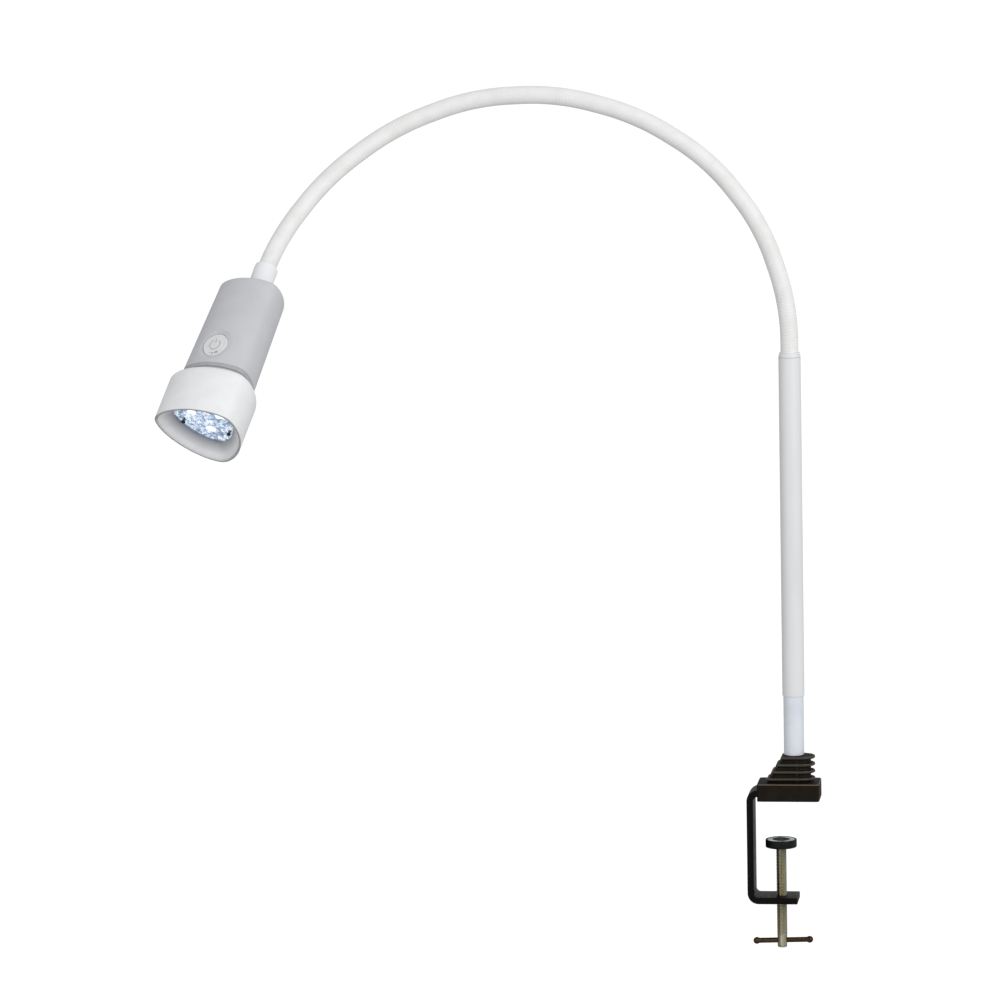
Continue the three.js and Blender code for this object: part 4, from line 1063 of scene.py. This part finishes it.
def baffle_cone():
    outer = SHADE_WIDTH - 2 * SHADE_WALL - 2 * GAP
    front = HEAD_LENGTH - 1.5
    pocket = POCKET_WIDTH + 3.4
    rear = BOARD_Z + 2
    profile = [(WINDOW_WIDTH, WINDOW_Z + 1.4), (outer - 1.6, front), (outer, front), (outer, front - 2.4),
               (pocket, WINDOW_Z + 1), (pocket, rear), (POCKET_WIDTH, rear), (POCKET_WIDTH, WINDOW_Z + GAP),
               (WINDOW_WIDTH, WINDOW_Z + GAP)]
    radii = [0.5, 0.5, 0.3, 0.3, 0.4, 0, 0, 0, 0.2]
    cone = lobed("baffle_cone", widths(profile, radii, 4), count=192)
    stand(cone, "head", "baffle_grey", "inner_baffle")


def window_pane():
    rear = WINDOW_Z - 2.4
    width = POCKET_WIDTH - 0.6
    pane = lobed("window_pane", [(width, rear), (width, WINDOW_Z)], closed=False)
    combine(pane, [cylinder(1.6, rear - 2, WINDOW_Z + 2, place, 32) for place in WINDOW_SCREW_PLACES])
    stand(pane, "head", "clear", "window")


def window_bolts():
    seat = WINDOW_Z + GAP
    end, top = BOARD_Z - 4, seat + 1.1
    profile = [(0, end), (1.3, end), (1.3, seat), (2.1, seat), (2, seat + 0.6), (1.4, top), (0, top)]
    profile = rounded(profile, [0, 0.2, 0, 0.1, 0.4, 0.4, 0], 3)
    slots = ((0.9, 0.22), (0.22, 0.9))
    for i, place in enumerate(WINDOW_SCREW_PLACES):
        bolt = turned(f"window_bolt_{i + 1}", profile, place, 40)
        combine(bolt, [block("tool", (-x, -y, seat + 0.5), (x, y, seat + 3), place) for x, y in slots])
        stand(bolt, "head", "black_oxide", f"window_screw_{i + 1}", slot="zinc")


def lenses():
    """Collimating lenses: a faceted cone below a face of small facets at uneven heights."""
    rear = BOARD_Z + 3.5
    front = WINDOW_Z - 3.2
    sides = 24
    body = [(0, rear), (4.5, rear), (8.6, rear + 3.4), (OPTIC_RADIUS - 0.9, front - 1.6),
            (OPTIC_RADIUS, front - 1.5), (OPTIC_RADIUS, front - 0.5)]
    rng = np.random.default_rng(5)
    for i, place in enumerate(OPTIC_PLACES):
        rings = circles(body, sides)
        for k, radius in enumerate((10.6, 8.6, 6.6, 4.6, 2.6)):
            turned_by = radians(7.5 * (k % 2))
            rings.append(polar(radius, ring_angles(sides) + turned_by, front - 1.2 * rng.random(sides)))
        rings.append(np.array([[0, 0, front - 0.9]]))
        lens = skin(f"lens_{i + 1}", rings, place, 5)
        # the lens look paints the lens as lit, a glow of glinting facets
        stand(lens, "head", "lens", f"optic_{i + 1}", slot="clear")
        # painted highlight: the lens centres glow brighter
        paint(lens, "glow", lambda p: p[2] > front - 2 and hypot(p[0], p[1]) < 4.7, place)


def lens_carrier():
    """The faceted plate that holds the lenses and fills the window round them."""
    top = WINDOW_Z - 2.75
    rng = np.random.default_rng(11)
    rings = [section(POCKET_WIDTH - 1.2, top - 1.2, 96)]
    for k, width in enumerate((62.6, 57, 51, 45, 39, 33, 27, 21, 15, 9)):
        ring = section(width, top, 96)
        ring[:, 2] -= 1.1 * rng.random(96) * (k > 0)
        rings.append(ring)
    rings.append(np.array([[0, 0, top]]))
    plate = skin("lens_carrier", rings, HEAD, 5)
    holes = [cylinder(OPTIC_RADIUS + GAP, top - 3, top + 2, place) for place in OPTIC_PLACES]
    holes += [cylinder(1.8, top - 3, top + 2, place, 24) for place in WINDOW_SCREW_PLACES]
    combine(plate, holes, sharp=5)
    # the plate takes the lens look's painted glow of lit facets
    stand(plate, "head", "lens", slot="clear")


# ---- button


def crown(radius):
    """Height of the button's slightly domed face at a distance from its centre."""
    return BUTTON_TOP - 0.35 * (radius / BUTTON_RADIUS) ** 2


def button_cap():
    """The round button on its stem, with a shallow ring sunk into its face."""
    under = BUTTON_TOP - 2.6
    stem_radius, stem_end = 3.8, 22.8
    skirt = [(0, stem_end), (stem_radius, stem_end), (stem_radius, under), (BUTTON_RADIUS, under),
             (BUTTON_RADIUS, BUTTON_TOP - 1.2), (BUTTON_RADIUS - 0.12, BUTTON_TOP - 0.85),
             (BUTTON_RADIUS - 0.5, BUTTON_TOP - 0.5)]
    sunk = [(11.9, 0), (11.5, 0.12), (8.2, 0.12), (7.5, 0), (6, 0), (4.5, 0), (3, 0), (1.5, 0), (0, 0)]
    face = [(radius, crown(radius) - depth) for radius, depth in sunk]
    cap = turned("button_cap", skirt + face, BUTTON, 96)
    stand(cap, "button", "key_grey", "power_button", slot="pale_plastic")


def face_strip(name, centreline, width, look):
    """A thin raised stroke on the button's face along points given in its own X and Y."""
    line = np.array(centreline, float)
    top, edge = MARK_HEIGHT, 0.6 * MARK_HEIGHT
    across = ((-1, -0.2), (-1, edge), (-0.6, top), (0.6, top), (1, edge), (1, -0.2))
    rings = []
    for i, p in enumerate(line):
        ahead = unit(line[min(i + 1, len(line) - 1)] - line[max(i - 1, 0)])
        side = np.array([-ahead[1], ahead[0]]) * width / 2
        ring = []
        for shift, lift in across:
            x, y = p + side * shift
            ring.append((x, y, crown(hypot(x, y)) + lift))
        rings.append(ring)
    mark = skin(name, rings, BUTTON)
    stand(mark, "button", look, slot="pale_plastic")


def button_marks():
    """A generic on-off mark, its bar towards the neck, and three dashes that grow along the lower edge."""
    face_strip("mark_ring", arc(0, 0, 5.5, 36, 324, 48), 1.3, "mark_light")
    face_strip("mark_bar", [(1.9, 0), (4.2, 0), (6.6, 0)], 1.3, "mark_light")
    radius = 9.9
    for i, (middle, length, width) in enumerate(((165.5, 1.3, 0.6), (183.2, 2.2, 1.2), (206.4, 3.0, 1.8))):
        half = degrees(length / 2 / radius)
        dash = arc(0, 0, radius, middle - half, middle + half, 6)
        face_strip(f"mark_dash_{i + 1}", dash, width, "mark_dark")


# ---- CAD nodes that stay


BEVELLED = ("jaw_pad", "mast_bush", "mast_retaining_screw", "hood_screw_1", "hood_screw_2",
            "socket_set_screw")


def dress_cad_nodes():
    """Gives every CAD node the finish of its slot, and rounds its edges where it shows."""
    slots = {row["node"]: row["material_slot"] for row in frame["record"]["subparts"]}
    darker = {"housing_seal": "grey_rubber", "power_button": "key_grey"}
    for name, obj in frame["nodes"].items():
        dress(obj, darker.get(name, slots[name]))
        if name in BEVELLED:
            bevel(obj, 0.25)


# ---- camera, light and floor


def make_camera():
    azimuth, elevation, roll = radians(7.5), radians(7), radians(1.08)
    distance = 5.0
    target = Vector((-0.2774, 0, 0.3016))
    back = Vector((sin(azimuth) * cos(elevation), -cos(azimuth) * cos(elevation), sin(elevation)))
    level = Vector((cos(azimuth), sin(azimuth), 0))
    upright = back.cross(level)
    right = level * cos(roll) - upright * sin(roll)
    up = level * sin(roll) + upright * cos(roll)
    camera = bpy.data.objects.new("camera", bpy.data.cameras.new("camera"))
    camera.data.lens = 180
    camera.data.sensor_width = 36
    camera.data.clip_end = 200
    turn = Matrix((right, up, back)).transposed().to_4x4()
    camera.matrix_world = Matrix.Translation(target + back * distance) @ turn
    bpy.context.scene.collection.objects.link(camera)
    bpy.context.scene.camera = camera


def area_light(name, place, aim, size, power):
    light = bpy.data.lights.new(name, "AREA")
    light.shape = "DISK"
    light.size = size
    light.energy = power
    obj = bpy.data.objects.new(name, light)
    obj.location = place
    obj.rotation_euler = (Vector(aim) - Vector(place)).to_track_quat("-Z", "Y").to_euler()
    bpy.context.scene.collection.objects.link(obj)


def make_world():
    """Soft light, a little brighter from the right, the front and above. The camera sees plain white."""
    world = bpy.data.worlds.new("studio")
    world.use_nodes = True
    tree = world.node_tree
    light, output = tree.nodes["Background"], tree.nodes["World Output"]

    def node(kind):
        return tree.nodes.new("ShaderNode" + kind)

    direction = node("TexCoord").outputs["Generated"]
    slope = node("VectorMath")
    slope.operation = "DOT_PRODUCT"
    slope.inputs[1].default_value = WORLD_SLOPE
    level = node("Math")
    level.inputs[1].default_value = WORLD_LEVEL
    tree.links.new(direction, slope.inputs[0])
    tree.links.new(slope.outputs["Value"], level.inputs[0])
    tree.links.new(level.outputs[0], light.inputs["Strength"])
    light.inputs["Color"].default_value = (0.98, 0.99, 1, 1)
    plain = node("Background")
    plain.inputs["Color"].default_value = (1, 1, 1, 1)
    seen = node("LightPath").outputs["Is Camera Ray"]
    mix = node("MixShader")
    tree.links.new(seen, mix.inputs[0])
    tree.links.new(light.outputs[0], mix.inputs[1])
    tree.links.new(plain.outputs[0], mix.inputs[2])
    tree.links.new(mix.outputs[0], output.inputs["Surface"])
    bpy.context.scene.world = world
    bpy.context.scene.view_settings.view_transform = "Standard"


def make_floor():
    """A wide pale floor far below, lit like the backdrop, which casts no light of its own on the lamp."""
    reach = 300000
    floor_z = -760
    corners = [(-reach, -reach), (reach, -reach), (reach, reach), (-reach, reach)]
    floor = piece("studio_floor", [(x, y, floor_z) for x, y in corners], [(0, 1, 2, 3)])
    look = Look("floor", (235, 235, 235), 0.9, 0.0, 0.05)
    look.tone(400, (233, 233, 233), 0.5).glow((1, 1, 1, 1), 0.45)
    floor.data.materials.append(look.material)
    floor.visible_diffuse = False
    floor.visible_glossy = False


make_looks()
make_camera()
make_world()
make_floor()
area_light("key", (2.4, -2.9, 1.7), (-0.2, 0, 0.25), 1.5, KEY_POWER)
area_light("fill", (-1.6, -3.2, -0.2), (-0.2, 0, 0.3), 1.8, FILL_POWER)
dress_cad_nodes()
clamp_bar()
hood_cover()
bellows_tower()
pad_disc()
screw_thread()
tommy_rod()
mast_pieces()
hose_covers()
neck_sleeve()
housing_shell()
seal_band()
shade_shell()
baffle_cone()
window_pane()
window_bolts()
lenses()
lens_carrier()
button_cap()
button_marks()
